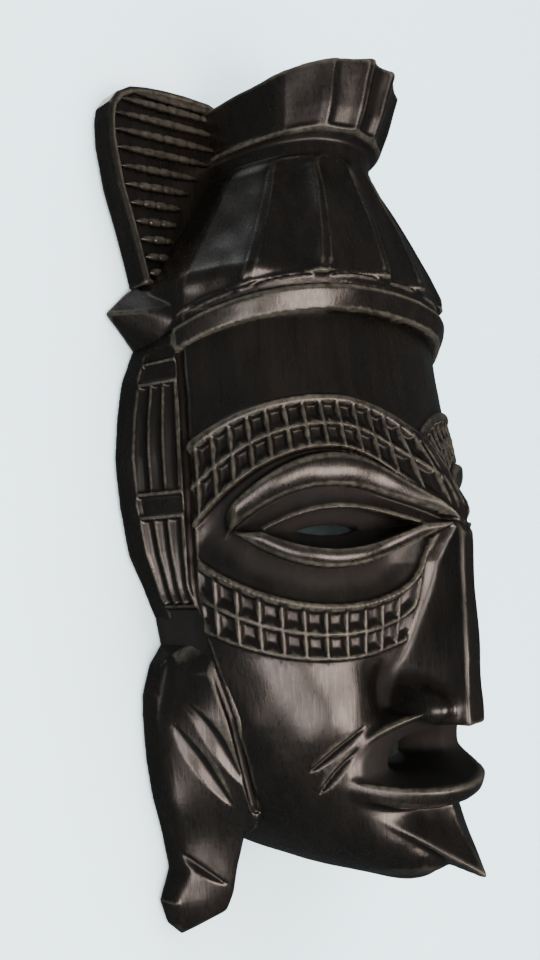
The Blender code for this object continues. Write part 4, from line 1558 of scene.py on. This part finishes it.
@dataclass
class Studio:
    """Pale sweep, a pale sheet behind the mask, soft lights and the camera; in metres."""

    floor_level: float = -0.62
    wall: float = 1.15
    reach: float = 3.5
    sheet_depth: float = 0.001
    paper: tuple[float, float, float] = (0.78, 0.93, 0.98)

    def backdrop(self) -> None:
        """The pale floor, curved up into a wall."""
        profile = [(-self.reach, self.floor_level)]
        bend = 0.7
        for turn in np.linspace(0, math.pi / 2, 24):
            profile.append((self.wall - bend + bend * math.sin(turn),
                            self.floor_level + bend * (1 - math.cos(turn))))
        profile.append((self.wall, 3.0))
        points = [(x, y, z) for x in (-self.reach, self.reach) for y, z in profile]
        count = len(profile)
        faces = [(index, index + count, index + count + 1, index + 1)
                 for index in range(count - 1)]
        mesh = bpy.data.meshes.new("pale_floor")
        mesh.from_pydata(points, [], faces)
        mesh.shade_smooth()
        obj = new_object("pale_floor", mesh)
        material, _, shader = new_material("pale_paper")
        shader.inputs["Base Color"].default_value = (*self.paper, 1.0)
        shader.inputs["Roughness"].default_value = PAPER_ROUGHNESS
        mesh.materials.append(material)
        obj.visible_glossy = False
        obj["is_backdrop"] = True

    def cloth(self) -> None:
        """A pale sheet right behind the mask, which is not there when seen from behind."""
        reach, depth = self.reach, self.sheet_depth
        mesh = bpy.data.meshes.new("pale_sheet")
        mesh.from_pydata([(-reach, depth, self.floor_level), (reach, depth, self.floor_level),
                          (reach, depth, reach), (-reach, depth, reach)], [], [(0, 1, 2, 3)])
        obj = new_object("pale_sheet", mesh)
        material, make, shader = new_material("pale_sheet")
        shader.inputs["Base Color"].default_value = (*self.paper, 1.0)
        shader.inputs["Roughness"].default_value = PAPER_ROUGHNESS
        clear = make.add("ShaderNodeBsdfTransparent")
        behind = make.add("ShaderNodeNewGeometry").outputs["Backfacing"]
        either = make.add("ShaderNodeMixShader", {0: behind, 1: shader.outputs[0],
                                                  2: clear.outputs[0]})
        make.link(either.outputs[0], make.tree.nodes["Material Output"].inputs["Surface"])
        mesh.materials.append(material)
        obj.visible_shadow = False
        obj.visible_diffuse = False
        obj.visible_glossy = False
        obj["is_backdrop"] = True

    def light(self, name: str, place: Sequence[float], aim: Sequence[float],
              size: tuple[float, float], power: float,
              color: Sequence[float]) -> bpy.types.Object:
        """Add one soft box and return it."""
        data = bpy.data.lights.new(name, "AREA")
        data.shape, data.size, data.size_y = "RECTANGLE", size[0], size[1]
        data.energy, data.color = power, color
        obj = new_object(name, data)
        obj.location = place
        obj.rotation_euler = (Vector(aim) - Vector(place)).to_track_quat("-Z", "Y").to_euler()
        obj.visible_camera = False
        return obj

    def lights(self) -> None:
        """Two warm soft boxes below, faint lights above and behind, and a pale surround."""
        middle = (0.0, -0.05, -0.118)
        self.light("warm_key", (-0.14, -1.03, -0.54), middle, (0.7, 0.4), 17.0, (1.0, 0.80, 0.70))
        self.light("warm_side", (-0.86, -0.62, -0.52), middle, (0.55, 0.4), 8.5, (1.0, 0.84, 0.76))
        self.light("top_glint", (-0.5, 0.25, 1.0), middle, (0.35, 0.35), 0.9, (0.95, 0.98, 1.0))
        fill = self.light("top_fill", (0.3, -1.2, 1.4), (0.0, 0.0, -0.2), (1.6, 1.6), 40.0,
                          (0.92, 0.97, 1.0))
        fill.visible_glossy = False
        self.light("back_fill", (0.5, 1.0, 0.9), middle, (0.8, 0.8), 6.0, (1.0, 0.97, 0.93))
        world = bpy.data.worlds.new("pale_surround")
        world.use_nodes = True
        make = TreeMaker(world.node_tree)
        sky = world.node_tree.nodes["Background"]
        ray = make.add("ShaderNodeLightPath")
        strength = make.range(ray.outputs["Is Glossy Ray"], 0.0, 1.0, 2.5, 0.10)
        sky.inputs["Color"].default_value = (0.80, 0.88, 0.92, 1.0)
        world.node_tree.links.new(strength, sky.inputs["Strength"])
        bpy.context.scene.world = world

    def camera(self) -> None:
        """The camera, turned a little so that the mask leans in the frame."""
        data = bpy.data.cameras.new("camera")
        data.sensor_width, data.lens = 36.0, 31.875
        data.clip_start, data.clip_end = 0.02, 20.0
        obj = new_object("camera", data)
        azimuth, elevation, distance = math.radians(48.0), math.radians(-6.0), 0.423
        aim = Vector((0.0, 0.0, -0.118))
        back = Vector((-math.sin(azimuth) * math.cos(elevation),
                       -math.cos(azimuth) * math.cos(elevation), math.sin(elevation)))
        right = (-back).cross(Vector((0, 0, 1))).normalized()
        up = right.cross(-back)
        roll = math.radians(3.5)
        turned_right = right * math.cos(roll) - up * math.sin(roll)
        turned_up = up * math.cos(roll) + right * math.sin(roll)
        obj.matrix_world = Matrix((
            (turned_right.x, turned_up.x, back.x, aim.x + back.x * distance),
            (turned_right.y, turned_up.y, back.y, aim.y + back.y * distance),
            (turned_right.z, turned_up.z, back.z, aim.z + back.z * distance),
            (0.0, 0.0, 0.0, 1.0)))
        bpy.context.scene.camera = obj


def corners(bounds: tuple[Vector, Vector]) -> list[list[float]]:
    """The two corners of a box as plain lists."""
    return [[float(value) for value in corner] for corner in bounds]


def main() -> None:
    """Build every sub-assembly; each carved piece is logged as it is made."""
    logging.basicConfig(level=logging.INFO, format="%(message)s")
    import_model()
    solid_box = corners(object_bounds())
    placement = Placement(solid_box[1][2] - TOP_LEVEL * MM)
    studio = Studio()
    studio.camera()
    studio.backdrop()
    studio.cloth()
    studio.lights()
    wood = StainedWood().material()
    steel = ZincPlate().material()
    carver = Carver(placement, wood)
    hanger = Hanger(steel, placement)
    Face(carver, FORM_STEP).build()
    Hair(carver, FORM_STEP, hanger).build()
    for side in Side:
        EarBoard(carver, SIDE_STEP).build(side)
        Lock(carver, SIDE_STEP).build(side)
        fin = Fin(carver, SIDE_STEP)
        fin.build(side)
        fin.ribs(side)
    hanger.ring()
    hanger.strap()
    hanger.screws()


if __name__ == "__main__":
    main()
